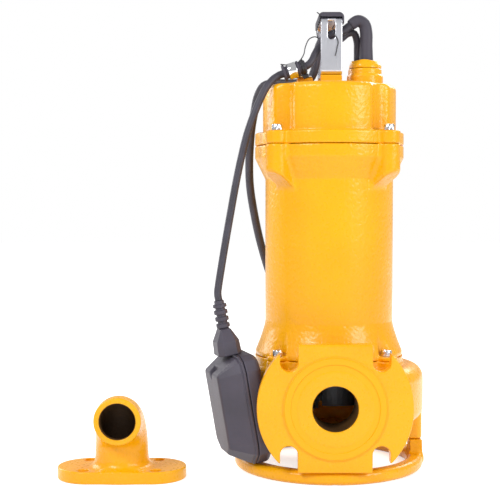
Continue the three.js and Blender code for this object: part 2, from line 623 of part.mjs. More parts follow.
const handleScrew = (side) =>
  screw(BOLT_THREAD_R, BOLT_HEAD_R, BOLT_HEAD_H - 1, HANDLE_BOSS_H + STRAP_THICK)
    .translate(0, handleScrewY(side), HANDLE_Z + STRAP_THICK + GAP);

function glandNut() {
  const low = GLAND_TOP + GAP;
  const top = low + GLAND_NUT_H;
  return ring([[GLAND_HOLE_R, low], [GLAND_BOSS_R - 0.4, low], [GLAND_BOSS_R - 0.4, low + 3.2],
    [GLAND_HOLE_R + 1.4, top], [GLAND_HOLE_R, top]], SMALL_ROUND).translate(GLAND_X, 0, 0);
}

const RUBBER_TOP = GLAND_TOP + 5;

const glandRubber = () =>
  disc(GLAND_HOLE_R - GAP, COVER_TOP - 2 + GAP, RUBBER_TOP, SMALL_ROUND).translate(GLAND_X, 0, 0);

// The point that lies `along` the clamp's axis from its middle.
function onClampAxis(along) {
  const rise = radians(CLAMP_RISE);
  return [CLAMP_AT[0] + along * Math.cos(rise), CLAMP_AT[1], CLAMP_AT[2] + along * Math.sin(rise)];
}

// A ring about the clamp's axis.
function clampRing(inner, outer, from, to) {
  return cut(rod(onClampAxis(from), onClampAxis(to), outer), rod(onClampAxis(from - 1), onClampAxis(to + 1), inner));
}

function clampLiner() {
  const body = join(
    rod(onClampAxis(-LINER_LEFT + 1.5), onClampAxis(LINER_RIGHT), LINER_R),
    rod(onClampAxis(-LINER_LEFT), onClampAxis(-LINER_LEFT + 2.6), LINER_RIM_R),
    rod(onClampAxis(BAND_WIDTH / 2 + GAP + 0.3), onClampAxis(BAND_WIDTH / 2 + 3), BAND_R));
  return cut(body, rod(onClampAxis(-LINER_LEFT - 1), onClampAxis(LINER_RIGHT + 1), CLAMP_CORD_R));
}

function cordClamp() {
  const seat = COVER_TOP + CLAMP_BOSS_SIZE[2] + GAP;
  const band = clampRing(LINER_R + GAP, BAND_R, -BAND_WIDTH / 2, BAND_WIDTH / 2);
  const [bx, by] = CLAMP_BOSS_AT;
  const tab = box([CLAMP_AT[0] - 4, CLAMP_AT[1] + LINER_R - 0.8, seat], [bx + 7, by + 6, seat + 1.5]);
  const bore = rod(onClampAxis(-LINER_LEFT - 20), onClampAxis(LINER_RIGHT + 20), LINER_R + GAP);
  return cut(join(band, tab), bore, disc(2 + GAP, seat - 1, seat + 3, 12).translate(bx, by, 0));
}

function clampScrew() {
  const seat = COVER_TOP + CLAMP_BOSS_SIZE[2] + GAP + 1.5 + GAP;
  return screw(2, 3.6, 2.6, CLAMP_BOSS_SIZE[2], 1.6, 12).translate(...CLAMP_BOSS_AT, seat);
}

// A plastic tie round the liner, with its head on top.
function cableTie() {
  const [from, to] = [BAND_WIDTH / 2 + 5, BAND_WIDTH / 2 + 8.6];
  const middle = onClampAxis((from + to) / 2);
  const head = new THREE.BoxGeometry(5, 6, 4).rotateY(-radians(CLAMP_RISE))
    .translate(middle[0] - 0.6, middle[1], middle[2] + LINER_R + 2.6);
  return cut(join(clampRing(LINER_R, LINER_R + 1.5, from, to), head),
    rod(onClampAxis(from - 4), onClampAxis(to + 4), LINER_R + GAP));
}

// ---------------------------------------------------------------------------------------------
// Motor, bearings and wet end
// ---------------------------------------------------------------------------------------------

function shaft() {
  const nose = IMPELLER_TOP_Z - 28;
  const step = UPPER_BEARING_Z - 1;
  return turned([[0, nose], [SHAFT_NOSE_R, nose], [SHAFT_NOSE_R, IMPELLER_TOP_Z + 4], [SHAFT_R, IMPELLER_TOP_Z + 4],
    [SHAFT_R, step], [SHAFT_TOP_R, step], [SHAFT_TOP_R, BRACKET_TOP], [0, BRACKET_TOP]], SMALL_ROUND);
}

// A ball bearing standing at z = low: its outer ring, inner ring, and balls in their cage.
function bearingRings(size, low) {
  const high = low + size.width;
  const outer = tube(size.outerR - size.wall, size.outerR, low, high, SMALL_ROUND);
  const inner = tube(size.innerR + GAP, size.innerR + size.wall, low, high, SMALL_ROUND);
  const race = (size.outerR + size.innerR) / 2;
  const balls = Array.from({ length: BALLS }, (_, i) =>
    new THREE.IcosahedronGeometry(size.ball, 0).translate(...around(race, (360 * i) / BALLS), (low + high) / 2));
  const cage = tube(race - 0.9, race + 0.9, (low + high) / 2 - 2, (low + high) / 2 + 2, SMALL_ROUND);
  return { outer, inner, balls: join(cage, ...balls) };
}

const SLOT_R = (WINDING_INNER_R + WINDING_OUTER_R) / 2;
const SLOT_ANGLES = Array.from({ length: STATOR_SLOTS }, (_, i) => (360 * i) / STATOR_SLOTS);

// A bar along one of the stator's slots, or the slot that it lies in when `grown` by the gap.
const slotBar = (degrees, low, high, grown) => column(SLOT_R, SLOT_BAR_R + grown, low, high, degrees, 8);

function statorCore() {
  return cut(tube(STATOR_BORE_R, HOUSING_R - HOUSING_WALL - GAP, STATOR_Z, STATOR_TOP, INSIDE_ROUND),
    ...SLOT_ANGLES.map((degrees) => slotBar(degrees, STATOR_Z - 1, STATOR_TOP + 1, GAP)));
}

const rotorCore = () =>
  tube(SHAFT_R + GAP, STATOR_BORE_R - AIR_GAP, STATOR_Z - 4, STATOR_TOP + 4, INSIDE_ROUND);

// One end of the winding: a rounded ring of wire from z = low to z = high.
function windingEnd(low, high) {
  const [inner, outer, r] = [WINDING_INNER_R, WINDING_OUTER_R, 5];
  return ring([[inner + r, low], [outer - r, low], [outer, low + r], [outer, high - r], [outer - r, high],
    [inner + r, high], [inner, high - r], [inner, low + r]], INSIDE_ROUND);
}

// Both ends of the winding and the bars that join them through the core.
function statorWinding() {
  const [low, high] = [STATOR_Z - GAP - WINDING_HEIGHT, STATOR_TOP + GAP];
  return join(windingEnd(low, low + WINDING_HEIGHT), windingEnd(high, high + WINDING_HEIGHT),
    ...SLOT_ANGLES.map((degrees) => slotBar(degrees, low + 5, high + 5, 0)));
}

function upperBracket() {
  const seat = UPPER_BEARING.outerR + GAP;
  const low = UPPER_BEARING_Z - GAP;
  const body = ring([
    [SHAFT_TOP_R + 4, low - 3], [BRACKET_HUB_R, low - 3], [BRACKET_HUB_R, BRACKET_Z], [BRACKET_BORE_R - GAP, BRACKET_Z],
    [BRACKET_BORE_R - GAP, BRACKET_TOP], [seat, BRACKET_TOP], [seat, low], [SHAFT_TOP_R + 4, low],
  ], INSIDE_ROUND);
  const windows = [60, 150, 240, 330].map((degrees) => column(50, 5, BRACKET_Z - 1, BRACKET_TOP + 1, degrees, HOLE_ROUND));
  return cut(body, ...windows);
}

function sealPlate() {
  const spigot = PLATE_Z - PLATE_SPIGOT_H;
  const top = PLATE_Z + PLATE_FLANGE_H;
  const groove = PLATE_FLANGE_R - 3.6;
  const z = PLATE_Z + PLATE_FLANGE_H / 2;
  return ring([
    [PLATE_BORE_R, spigot + 4], [PLATE_BORE_R + 8, spigot + 4], [PLATE_BORE_R + 14, spigot], [CHAMBER_R - GAP, spigot],
    [CHAMBER_R - GAP, PLATE_Z], [PLATE_FLANGE_R, PLATE_Z], [PLATE_FLANGE_R, z - 1.9], [groove, z - 1.9],
    [groove, z + 1.9], [PLATE_FLANGE_R, z + 1.9], [PLATE_FLANGE_R, top], [PLATE_BORE_R, top],
  ], INSIDE_ROUND);
}

const sealSeat = () =>
  tube(SHAFT_R + 0.6, PLATE_BORE_R - GAP, PLATE_Z - PLATE_SPIGOT_H + 4, PLATE_Z + PLATE_FLANGE_H, SMALL_ROUND);

function sealRotor() {
  const low = PLATE_Z + PLATE_FLANGE_H + GAP;
  return ring([[SHAFT_R + GAP, low], [SHAFT_R + 3, low], [SHAFT_R + 5, low + 4], [SHAFT_R + 5, FLOOR_LEVEL - 3],
    [SHAFT_R + GAP, FLOOR_LEVEL - 3]], SMALL_ROUND);
}

// A vortex impeller: a disc on a hub with backward-curved vanes underneath.
function impeller() {
  const top = IMPELLER_TOP_Z;
  const low = top - IMPELLER_DISC_H;
  const body = turned([[0, top - 20], [SHAFT_NOSE_R + 4, top - 20], [SHAFT_NOSE_R + 6, low - 6], [SHAFT_NOSE_R + 14, low],
    [IMPELLER_R, low], [IMPELLER_R, top], [SHAFT_NOSE_R + 5, top], [SHAFT_NOSE_R + 5, top + 3], [0, top + 3]], INSIDE_ROUND);
  const vaneR = IMPELLER_R * 0.62;
  const vanes = Array.from({ length: IMPELLER_VANES }, (_, i) => {
    const shape = new THREE.Shape();
    shape.absarc(0, 0, vaneR, 0.1, 1.9, false);
    shape.absarc(0, 0, vaneR - IMPELLER_VANE_T, 1.9, 0.1, true);
    return raised(shape, low - IMPELLER_VANE_H, low + 1, 6).translate(-vaneR * 0.38, 0, 0)
      .rotateZ((2 * Math.PI * i) / IMPELLER_VANES);
  });
  const inside = disc(IMPELLER_R - 2, low - IMPELLER_VANE_H - 1, top, INSIDE_ROUND);
  return cut(join(body, common(join(...vanes), inside)), disc(SHAFT_NOSE_R + GAP, top - 40, top + 10, SMALL_ROUND));
}

function impellerNut() {
  const high = IMPELLER_TOP_Z - 20 - GAP;
  return cut(disc(14, high - NUT_H, high, 6), disc(SHAFT_NOSE_R + GAP, high - NUT_H - 1, high + 1, SMALL_ROUND));
}

// ---------------------------------------------------------------------------------------------
// Electrics under the cover
// ---------------------------------------------------------------------------------------------

function capacitor() {
  const low = BRACKET_TOP + GAP;
  const [x, y] = CAPACITOR_AT;
  const can = turned([[0, low], [CAPACITOR_R, low], [CAPACITOR_R, low + CAPACITOR_H], [0, low + CAPACITOR_H]], SMALL_ROUND);
  const tabs = [-6, 6].map((dx) => box([dx - 3, -0.5, low + CAPACITOR_H - 1], [dx + 3, 0.5, low + CAPACITOR_H + 6]));
  return join(can, ...tabs).translate(x, y, 0);
}

// ---------------------------------------------------------------------------------------------
// Cords, with their points chosen by hand
// ---------------------------------------------------------------------------------------------

const POWER_EXIT = [37.4, -2, RUBBER_TOP + GAP];
const FLOAT_CORD_EXIT = [29.2, 4.8, RUBBER_TOP + GAP];
const PIVOT = [-52, -30, 398.7]; // where the float's cord starts to swing, just outside the clamp

const POWER_ROUTE = [
  POWER_EXIT, [37.4, -2, 430], [37.4, -2, 445], [35.2, -2.3, 453.6], [28.8, -3.2, 456.6], [21, -4, 451.8],
  [13.5, -4.4, 446.2], [5, -4.2, 443.8], [-3.4, -2.6, 441], [-9.6, 0.4, 434], [-12.6, 2.4, 422], [-14.6, 3.4, 409],
  [-19.4, 4.6, 398.6], [-30, 7, 394.9], [-44, 11, 394.7], [-57.6, 15.2, 395.2], [-67, 18.2, 392.8], [-73.2, 19.8, 382.6],
  [-76.8, 20.8, 366], [-79.8, 22, 349], [-81.4, 24.4, 331], [-82.2, 29, 311], [-81.4, 36, 289], [-77.4, 44, 262],
  [-70.6, 52, 230], [-61.4, 62, 198], [-50, 76, 165], [-38.6, 92, 130], [-31, 107, 96], [-33, 121, 68],
  [-38.6, 139, 47.4], [-42, 158, 39.4],
];
const FLOAT_FIXED_ROUTE = [
  FLOAT_CORD_EXIT, [29.2, 4.8, 427], [28.8, 4.8, 437], [25.4, 4.6, 445.4], [19, 4.6, 444.8], [12.4, 4.2, 439.6],
  [6, 1.2, 435.6], [0, -5, 433], [-6, -12, 431], [-11.6, -18.4, 427.6], [-15.8, -23.6, 420.8], [-19.4, -27.8, 413.2],
  [-24.4, -30, 408], [-31, -30, 405.6], [-39, -30, 403], [-48.13, -30, 400.03],
];
const FLOAT_FREE_ROUTE = [
  PIVOT, [-58.2, -32.8, 394.4], [-65, -37, 386], [-71, -40, 374.4], [-77, -41.8, 360], [-84, -43.4, 340],
  [-90, -44.8, 316], [-95.4, -46.4, 290], [-100.8, -48.2, 260], [-106, -50.4, 230], [-110.4, -52.4, 203],
  [-112.4, -53.4, 190], [-113.3, -53.9, 181.6], [-112.35, -53.62, 175.3],
];

const COIL_BASE = TIE_THICK + GAP;
const COIL_SIDE = COIL_TURNS_WIDE * 2 * POWER_CORD_R;
const COIL_TOP = COIL_BASE + COIL_SIDE;
const COIL_INNER_R = COIL_MEAN_R - COIL_SIDE / 2;
const COIL_OUTER_R = COIL_MEAN_R + COIL_SIDE / 2;
const PLUG_AT = [9.6, 199, COIL_TOP + PLUG_R + GAP]; // the plug's rear, where its cord goes in
const TAIL_ROUTE = [
  [-20.6, 213.4, COIL_TOP + POWER_CORD_R + GAP], [-12, 219.6, 41.6], [-3.4, 219.6, 46.4], [4.4, 212.4, 51.4],
  [8.2, 204.6, PLUG_AT[2]], [9.52, 199.32, PLUG_AT[2]],
];
const PLUG_TURN = -76; // degrees from +X that the plug points, seen from above

function cordSleeve() {
  const [x, y, z] = POWER_EXIT;
  const top = z + SLEEVE_H;
  return ring([[POWER_CORD_R + GAP + 0.4, z], [SLEEVE_R, z], [SLEEVE_R, top - 4], [SLEEVE_R - 0.8, top],
    [POWER_CORD_R + GAP + 0.4, top]], SMALL_ROUND).translate(x, y, 0);
}

// The free cord starts in a ball on its pivot, so that it swings clear of the clamp.
function floatCordFree() {
  const ball = new THREE.SphereGeometry(FLOAT_CORD_R, 8, 6).translate(...PIVOT);
  return join(ball, cord(FLOAT_FREE_ROUTE, FLOAT_CORD_R, 24));
}

const powerCordCoil = () =>
  tube(COIL_INNER_R, COIL_OUTER_R, COIL_BASE, COIL_TOP).translate(...COIL_AT, 0);

// A tie round the coil's bundle, its buckle outside.
function coilTie() {
  const slack = GAP + TIE_THICK;
  const half = TIE_WIDTH / 2;
  const loop = box([COIL_INNER_R - slack - TIE_SLACK, -half, 0], [COIL_OUTER_R + slack, half, COIL_TOP + slack]);
  const hole = box([COIL_INNER_R - GAP - TIE_SLACK, -TIE_WIDTH, COIL_BASE - GAP], [COIL_OUTER_R + GAP, TIE_WIDTH, COIL_TOP + GAP]);
  const buckle = box([COIL_OUTER_R + slack - 0.5, -half - 1, 13], [COIL_OUTER_R + slack + 3, half + 1, 21]);
  return join(cut(loop, hole), buckle).rotateZ(radians(20)).translate(...COIL_AT, 0);
}

// A moulded mains plug lying on the coil, its two pins forwards and its strain relief behind.
function plug() {
  const body = turned([[0, 0], [6.6, 0], [7.6, 14], [12, 20], [PLUG_R, 30], [PLUG_R, PLUG_LENGTH], [PLUG_R - 1, PLUG_LENGTH + 1],
    [0, PLUG_LENGTH + 1]], SMALL_ROUND);
  const pins = [-9.5, 9.5].map((x) => disc(2.4, PLUG_LENGTH, PLUG_LENGTH + 20, 12).translate(x, 0, 0));
  return join(body, ...pins).rotateY(Math.PI / 2).rotateZ(radians(PLUG_TURN)).translate(...PLUG_AT);
}

// ---------------------------------------------------------------------------------------------
// Float switch, made about its own middle: x through its thickness, z up its length
// ---------------------------------------------------------------------------------------------

const SEAM_X = (BACK_SHELL_T - FRONT_SHELL_T) / 2; // the seam is nearer the pump than the float's middle
const CAGE_Z = -30; // the ball cage's foot

// The shells' outline in width and height: lower corners cut well back, upper ones less.
function shellOutline(inset) {
  const w = FLOAT_WIDTH / 2 - inset;
  const [top, bottom] = [FLOAT_TOP - inset, -FLOAT_BOTTOM + inset];
  return new THREE.Shape([[-w + 22, bottom], [w - 22, bottom], [w - 4, bottom + 13], [w, bottom + 24], [w, top - 14],
    [w - 5, top - 4], [w - 14, top], [-w + 14, top], [-w + 5, top - 4], [-w, top - 14], [-w, bottom + 24],
    [-w + 4, bottom + 13]].map(([x, y]) => new THREE.Vector2(x, y)));
}

// The front shell's inner ribs, which carry the ball's cage and the switch above it.
function shellSaddle() {
  const wall = SEAM_X + FRONT_SHELL_T - SHELL_WALL + 0.5;
  const top = CAGE_Z + BALL_CAGE_H;
  return join(box([BALL_CAGE_R + GAP, -4, CAGE_Z + 8], [wall, 4, top + 2]),
    box([SWITCH_DEPTH / 2 + GAP, -4, top + GAP], [wall, 4, top + SWITCH_HEIGHT - 2]));
}

// A half shell from the seam to its outer face, with a bevelled rim; hollow and open at the seam.
function halfShell(thick, outwards) {
  const body = (inset, depth) =>
    new THREE.ExtrudeGeometry(shellOutline(SHELL_BEVEL + inset), {
      depth: depth - SHELL_BEVEL, bevelThickness: SHELL_BEVEL, bevelSize: SHELL_BEVEL, bevelSegments: 2,
    });
  const half = box([-200, -200, GAP / 2], [200, 200, 200]);
  const shell = common(body(0, thick), half);
  const cavity = common(body(SHELL_WALL, thick - SHELL_WALL), box([-200, -200, -1], [200, 200, 200]));
  const hollow = cut(shell, cavity).rotateZ(Math.PI / 2).rotateY(Math.PI / 2);
  return outwards > 0 ? hollow : hollow.rotateZ(Math.PI);
}

function floatBoot() {
  const low = FLOAT_TOP + GAP;
  const section = (width, depth, z) => ({ width, depth, z });
  const levels = [section(15, 12, low), section(14.5, 12, low + 12), section(8, 8, low + BOOT_HEIGHT)];
  const shape = roundedRectangle(2 * levels[0].width, 2 * levels[0].depth, 5);
  const block = new THREE.ExtrudeGeometry(shape, { depth: 1, steps: 2, bevelEnabled: false, curveSegments: 3 });
  const at = block.attributes.position;
  for (let i = 0; i < at.count; i += 1) {
    const level = levels[Math.round(2 * at.getZ(i))];
    at.setXYZ(i, (at.getX(i) * level.width) / levels[0].width, (at.getY(i) * level.depth) / levels[0].depth, level.z);
  }
  const neckLow = low + BOOT_HEIGHT;
  const ribs = [0, 1, 2, 3].map((i) => neckLow + 3 + (i * (NECK_HEIGHT - 8)) / 3);
  const neck = turned([[0, neckLow - 1], [5.6, neckLow - 1],
    ...ribs.flatMap((z) => [[5.2, z - 1.6], [6.6, z - 1.2], [6.6, z + 1.2], [5.2, z + 1.6]]),
    [4.6, neckLow + NECK_HEIGHT], [0, neckLow + NECK_HEIGHT]], 12);
  return join(block.rotateZ(Math.PI / 2), neck);
}


const floatBallCage = () =>
  ring([[BALL_CAGE_R - 2, CAGE_Z + 2], [BALL_CAGE_R - 2, CAGE_Z + BALL_CAGE_H], [BALL_CAGE_R, CAGE_Z + BALL_CAGE_H],
    [BALL_CAGE_R, CAGE_Z], [3, CAGE_Z], [3, CAGE_Z + 2]], 16);

const floatBall = () => new THREE.SphereGeometry(BALL_R, 12, 8).translate(0, 0, CAGE_Z + 2 + GAP + BALL_R);

const floatMicroswitch = () => {
  const low = CAGE_Z + BALL_CAGE_H + GAP;
  const body = box([-SWITCH_DEPTH / 2, -10, low], [SWITCH_DEPTH / 2, 10, low + SWITCH_HEIGHT]);
  return cut(body, rod([-6, -6, low + 4], [6, -6, low + 4], 1.5, 12), rod([-6, 6, low + 4], [6, 6, low + 4], 1.5, 12));
};

// ---------------------------------------------------------------------------------------------
// Loose elbow, made about the middle of its plate's underside
// ---------------------------------------------------------------------------------------------

// Bends a piece made along Z: straight up, round the bend, then straight out towards -Y.
function bent(geometry, rise, r) {
  const at = geometry.attributes.position;
  const quarter = (Math.PI / 2) * r;
  for (let i = 0; i < at.count; i += 1) {
    const [y, along] = [at.getY(i), at.getZ(i)];
    const turn = THREE.MathUtils.clamp((along - rise) / r, 0, Math.PI / 2);
    const after = Math.max(0, along - rise - quarter);
    const before = Math.min(along, rise);
    at.setY(i, -r + (r + y) * Math.cos(turn) - after);
    at.setZ(i, before + (r + y) * Math.sin(turn));
  }
  return geometry;
}

// A turned piece along the elbow's centre line from one length to another, its radius tapering.
function elbowPipe(inset, from, to) {
  const long = ELBOW_PLATE[2] + ELBOW_RISE + (Math.PI / 2) * ELBOW_BEND_R + ELBOW_RUN;
  const steps = 9;
  const radius = (s) => THREE.MathUtils.lerp(ELBOW_FOOT_R, ELBOW_MOUTH_R, THREE.MathUtils.clamp(s / long, 0, 1)) - inset;
  const wall = Array.from({ length: steps + 1 }, (_, i) => {
    const s = from + ((long + to - from) * i) / steps;
    return [radius(s), s];
  });
  return bent(turned([[0, from], ...wall, [0, long + to]], 20), ELBOW_PLATE[2] + ELBOW_RISE, ELBOW_BEND_R);
}

function dischargeElbow() {
  const [length, width, thick] = ELBOW_PLATE;
  const plate = raised(roundedRectangle(length, width, width / 2 - 0.5), 0, thick, 8);
  const holes = [-1, 1].flatMap((sx) => [-1, 1].map((sy) =>
    disc(ELBOW_HOLE_R, -1, thick + 1, HOLE_ROUND).translate((sx * ELBOW_HOLES[0]) / 2, (sy * ELBOW_HOLES[1]) / 2, 0)));
  const nub = disc(4, 0, ELBOW_FOOT_R + 3, 12).rotateX(-Math.PI / 2).translate(0, 0, thick + ELBOW_RISE);
  const fillet = turned([[0, thick - 1], [ELBOW_FOOT_R + 5, thick - 1], [ELBOW_FOOT_R + 5, thick], [ELBOW_FOOT_R + 1.5, thick + 2],
    [ELBOW_FOOT_R - 1, thick + 7], [0, thick + 7]], 20);
  return cut(join(plate, fillet, nub, elbowPipe(0, thick - 2, 0)), elbowPipe(ELBOW_WALL, -1, 2), ...holes);
}

// ---------------------------------------------------------------------------------------------
// The assembly
// ---------------------------------------------------------------------------------------------

const finish = (color, roughness, metalness) => ({ color, roughness, metalness });
const PAINT = finish(0xffc300, 0.35, 0.0);
const BRIGHT_STEEL = finish(0xc8cacc, 0.25, 1.0);
const STRAP_STEEL = finish(0xb9bcc4, 0.4, 1.0);
const RUBBER = finish(0x3c3b44, 0.75, 0.0);
const CORD_RUBBER = finish(0x35343b, 0.7, 0.0);
const NYLON = finish(0x222226, 0.5, 0.0);
const COPPER = finish(0xb5652c, 0.4, 1.0);
const LAMINATION = finish(0x7d8086, 0.5, 1.0);
const CERAMIC = finish(0xd9d4c8, 0.3, 0.0);
const CAN = finish(0xd5d7da, 0.3, 1.0);
const CREAM = finish(0xe8e0cc, 0.5, 0.0);
const IRON = finish(0x6a6d70, 0.6, 0.8);

const piece = (name, geometry, material) => {
  const mesh = new THREE.Mesh(toGeometry(toSolid(geometry)), new THREE.MeshStandardMaterial(material));
  mesh.name = name;
  return mesh;
};

function castings() {
  return [
    piece('base_ring', baseRing(), PAINT),
    piece('volute_casing', voluteCasing(), PAINT),
    piece('motor_housing', motorHousing(), PAINT),
    piece('top_cover', topCover(), PAINT),
    piece('gland_nut', glandNut(), PAINT),
  ];
}

function fasteners() {
  const corners = CORNERS.flatMap((degrees, i) => [
    piece(`cover_bolt_${i + 1}`, cornerBolt(COVER_BOLT_R, COVER_FLANGE_TOP, HOUSING_TOP - BOLT_GRIP, degrees), BRIGHT_STEEL),
    piece(`housing_bolt_${i + 1}`,
      cornerBolt(HOUSING_BOLT_R, HOUSING_Z + HOUSING_LUG_H, VOLUTE_TOP - BOLT_GRIP, degrees), BRIGHT_STEEL),
  ]);
  const feet = [...LEG_ANGLES, FLANGE_FOOT_ANGLE].map((degrees, i) =>
    piece(`base_screw_${i + 1}`, baseScrew(degrees), BRIGHT_STEEL));
  return [...corners, ...feet];
}

function fittings() {
  return [
    piece('gland_rubber', glandRubber(), RUBBER),
    piece('cord_sleeve', cordSleeve(), RUBBER),
    piece('handle_strap', handleStrap(), STRAP_STEEL),
    piece('handle_grip', handleGrip(), RUBBER),
    piece('handle_screw_front', handleScrew(-1), BRIGHT_STEEL),
    piece('handle_screw_back', handleScrew(1), BRIGHT_STEEL),
    piece('cord_clamp', cordClamp(), BRIGHT_STEEL),
    piece('clamp_liner', clampLiner(), RUBBER),
    piece('clamp_screw', clampScrew(), BRIGHT_STEEL),
    piece('cable_tie', cableTie(), NYLON),
  ];
}

function motor() {
  const lower = bearingRings(LOWER_BEARING, LOWER_BEARING_Z);
  const upper = bearingRings(UPPER_BEARING, UPPER_BEARING_Z);
  return [
    piece('shaft', shaft(), BRIGHT_STEEL),
    piece('rotor_core', rotorCore(), LAMINATION),
    piece('stator_core', statorCore(), LAMINATION),
    piece('stator_winding', statorWinding(), COPPER),
    piece('lower_bearing_outer', lower.outer, BRIGHT_STEEL),
    piece('lower_bearing_inner', lower.inner, BRIGHT_STEEL),
    piece('lower_bearing_balls', lower.balls, BRIGHT_STEEL),
    piece('upper_bearing_outer', upper.outer, BRIGHT_STEEL),
    piece('upper_bearing_inner', upper.inner, BRIGHT_STEEL),
    piece('upper_bearing_balls', upper.balls, BRIGHT_STEEL),
    piece('upper_bearing_bracket', upperBracket(), IRON),
    piece('seal_plate', sealPlate(), IRON),
    piece('seal_seat', sealSeat(), CERAMIC),
    piece('seal_rotor', sealRotor(), BRIGHT_STEEL),
    piece('casing_o_ring', casingORing(), RUBBER),
    piece('cover_o_ring', coverORing(), RUBBER),
    piece('impeller', impeller(), IRON),
    piece('impeller_nut', impellerNut(), BRIGHT_STEEL),
    piece('capacitor', capacitor(), CAN),
  ];
}

function cords() {
  return [
    piece('power_cord', cord(POWER_ROUTE, POWER_CORD_R, 54), CORD_RUBBER),
    piece('power_cord_coil', powerCordCoil(), CORD_RUBBER),
    piece('power_cord_tail', cord(TAIL_ROUTE, POWER_CORD_R, 8), CORD_RUBBER),
    piece('coil_tie', coilTie(), NYLON),
    piece('plug', plug(), RUBBER),
    piece('float_cord_fixed', cord(FLOAT_FIXED_ROUTE, FLOAT_CORD_R, 28), CORD_RUBBER),
    piece('float_cord_free', floatCordFree(), CORD_RUBBER),
  ];
}

function floatSwitch() {
  const group = new THREE.Group();
  group.position.set(...FLOAT_AT);
  group.rotation.order = 'ZYX';
  group.rotation.set(0, radians(FLOAT_LEAN), radians(FLOAT_TURN));
  group.add(
    piece('float_shell_front', join(halfShell(FRONT_SHELL_T, 1).translate(SEAM_X, 0, 0), shellSaddle()), RUBBER),
    piece('float_shell_back', halfShell(BACK_SHELL_T, -1).translate(SEAM_X, 0, 0), RUBBER),
    piece('float_boot', floatBoot(), RUBBER),
    piece('float_ball_cage', floatBallCage(), CREAM),
    piece('float_ball', floatBall(), BRIGHT_STEEL),
    piece('float_microswitch', floatMicroswitch(), NYLON),
  );
  return group;
}

function looseElbow() {
  const elbow = piece('discharge_elbow', dischargeElbow(), PAINT);
  elbow.position.set(...ELBOW_AT, 0);
  return elbow;
}

const pump = new THREE.Group();
const leftmost = ELBOW_AT[0] - ELBOW_PLATE[0] / 2;
const front = FLANGE_FACE_Y - RIDGE_HEIGHT;
pump.position.set(-(leftmost + RING_R) / 2, -(front + RING_R) / 2, 0);
pump.add(...castings(), ...fasteners(), ...fittings(), ...motor(), ...cords(), floatSwitch(), looseElbow());

export default pump;
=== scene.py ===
"""Visual model of a submersible sewage pump with a float switch and a loose hose elbow.

Shapes are worked out in millimetres from the pump's axis (floor at z = 0, discharge towards -Y) and put
into the row's metres when a mesh is made. Castings are level surfaces of a rounded distance formula, so
that lugs, bosses and bands run into the walls with cast fillets; the other pieces are profiles turned
about an axis or carried along a path.
"""
import json
import logging
import math
from dataclasses import dataclass, field
from enum import Enum
from typing import Callable, Optional, Sequence

import bpy
import numpy as np
from mathutils import Euler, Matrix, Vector


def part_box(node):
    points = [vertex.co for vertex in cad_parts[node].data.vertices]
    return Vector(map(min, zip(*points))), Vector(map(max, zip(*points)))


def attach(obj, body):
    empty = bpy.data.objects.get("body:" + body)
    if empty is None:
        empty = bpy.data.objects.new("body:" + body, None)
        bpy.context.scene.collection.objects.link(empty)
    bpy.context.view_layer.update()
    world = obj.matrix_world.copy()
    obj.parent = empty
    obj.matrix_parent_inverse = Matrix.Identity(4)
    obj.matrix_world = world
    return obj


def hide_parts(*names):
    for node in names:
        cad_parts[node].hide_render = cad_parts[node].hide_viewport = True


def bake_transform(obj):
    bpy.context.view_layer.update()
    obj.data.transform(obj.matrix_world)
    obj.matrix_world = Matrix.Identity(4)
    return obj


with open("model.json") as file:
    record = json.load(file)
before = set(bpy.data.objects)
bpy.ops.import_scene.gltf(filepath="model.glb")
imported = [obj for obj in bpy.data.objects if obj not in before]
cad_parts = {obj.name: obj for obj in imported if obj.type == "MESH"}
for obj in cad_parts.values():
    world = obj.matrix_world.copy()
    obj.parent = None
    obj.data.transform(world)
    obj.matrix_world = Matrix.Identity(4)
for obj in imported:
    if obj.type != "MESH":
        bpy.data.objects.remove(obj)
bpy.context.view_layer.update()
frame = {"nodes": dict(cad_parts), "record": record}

LOG = logging.getLogger("pump")
MM = 0.001

Array = np.ndarray
Field = Callable[[Array, Array, Array], Array]


def pump_axis() -> Array:
    """Returns the row position of the pump's axis at floor level, in metres, from the shaft's box."""
    low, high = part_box("shaft")
    return np.array([(low.x + high.x) / 2, (low.y + high.y) / 2, 0.0])


AXIS = pump_axis()


def to_row(points: Sequence) -> Array:
    """Turns pump-axis millimetres into row metres.

    Args:
        points: one point or an array of points, in millimetres from the pump's axis.

    Returns:
        The same points in the row frame, in metres.
    """
    return np.asarray(points, float) * MM + AXIS


# ---------------------------------------------------------------------------------------------
# Materials
# ---------------------------------------------------------------------------------------------


class Pattern(Enum):
    """The surface texture a finish carries."""

    HAMMERED = "hammered"
    GRAINED = "grained"
    BRUSHED = "brushed"
    CAST = "cast"
    SHEATH = "sheath"


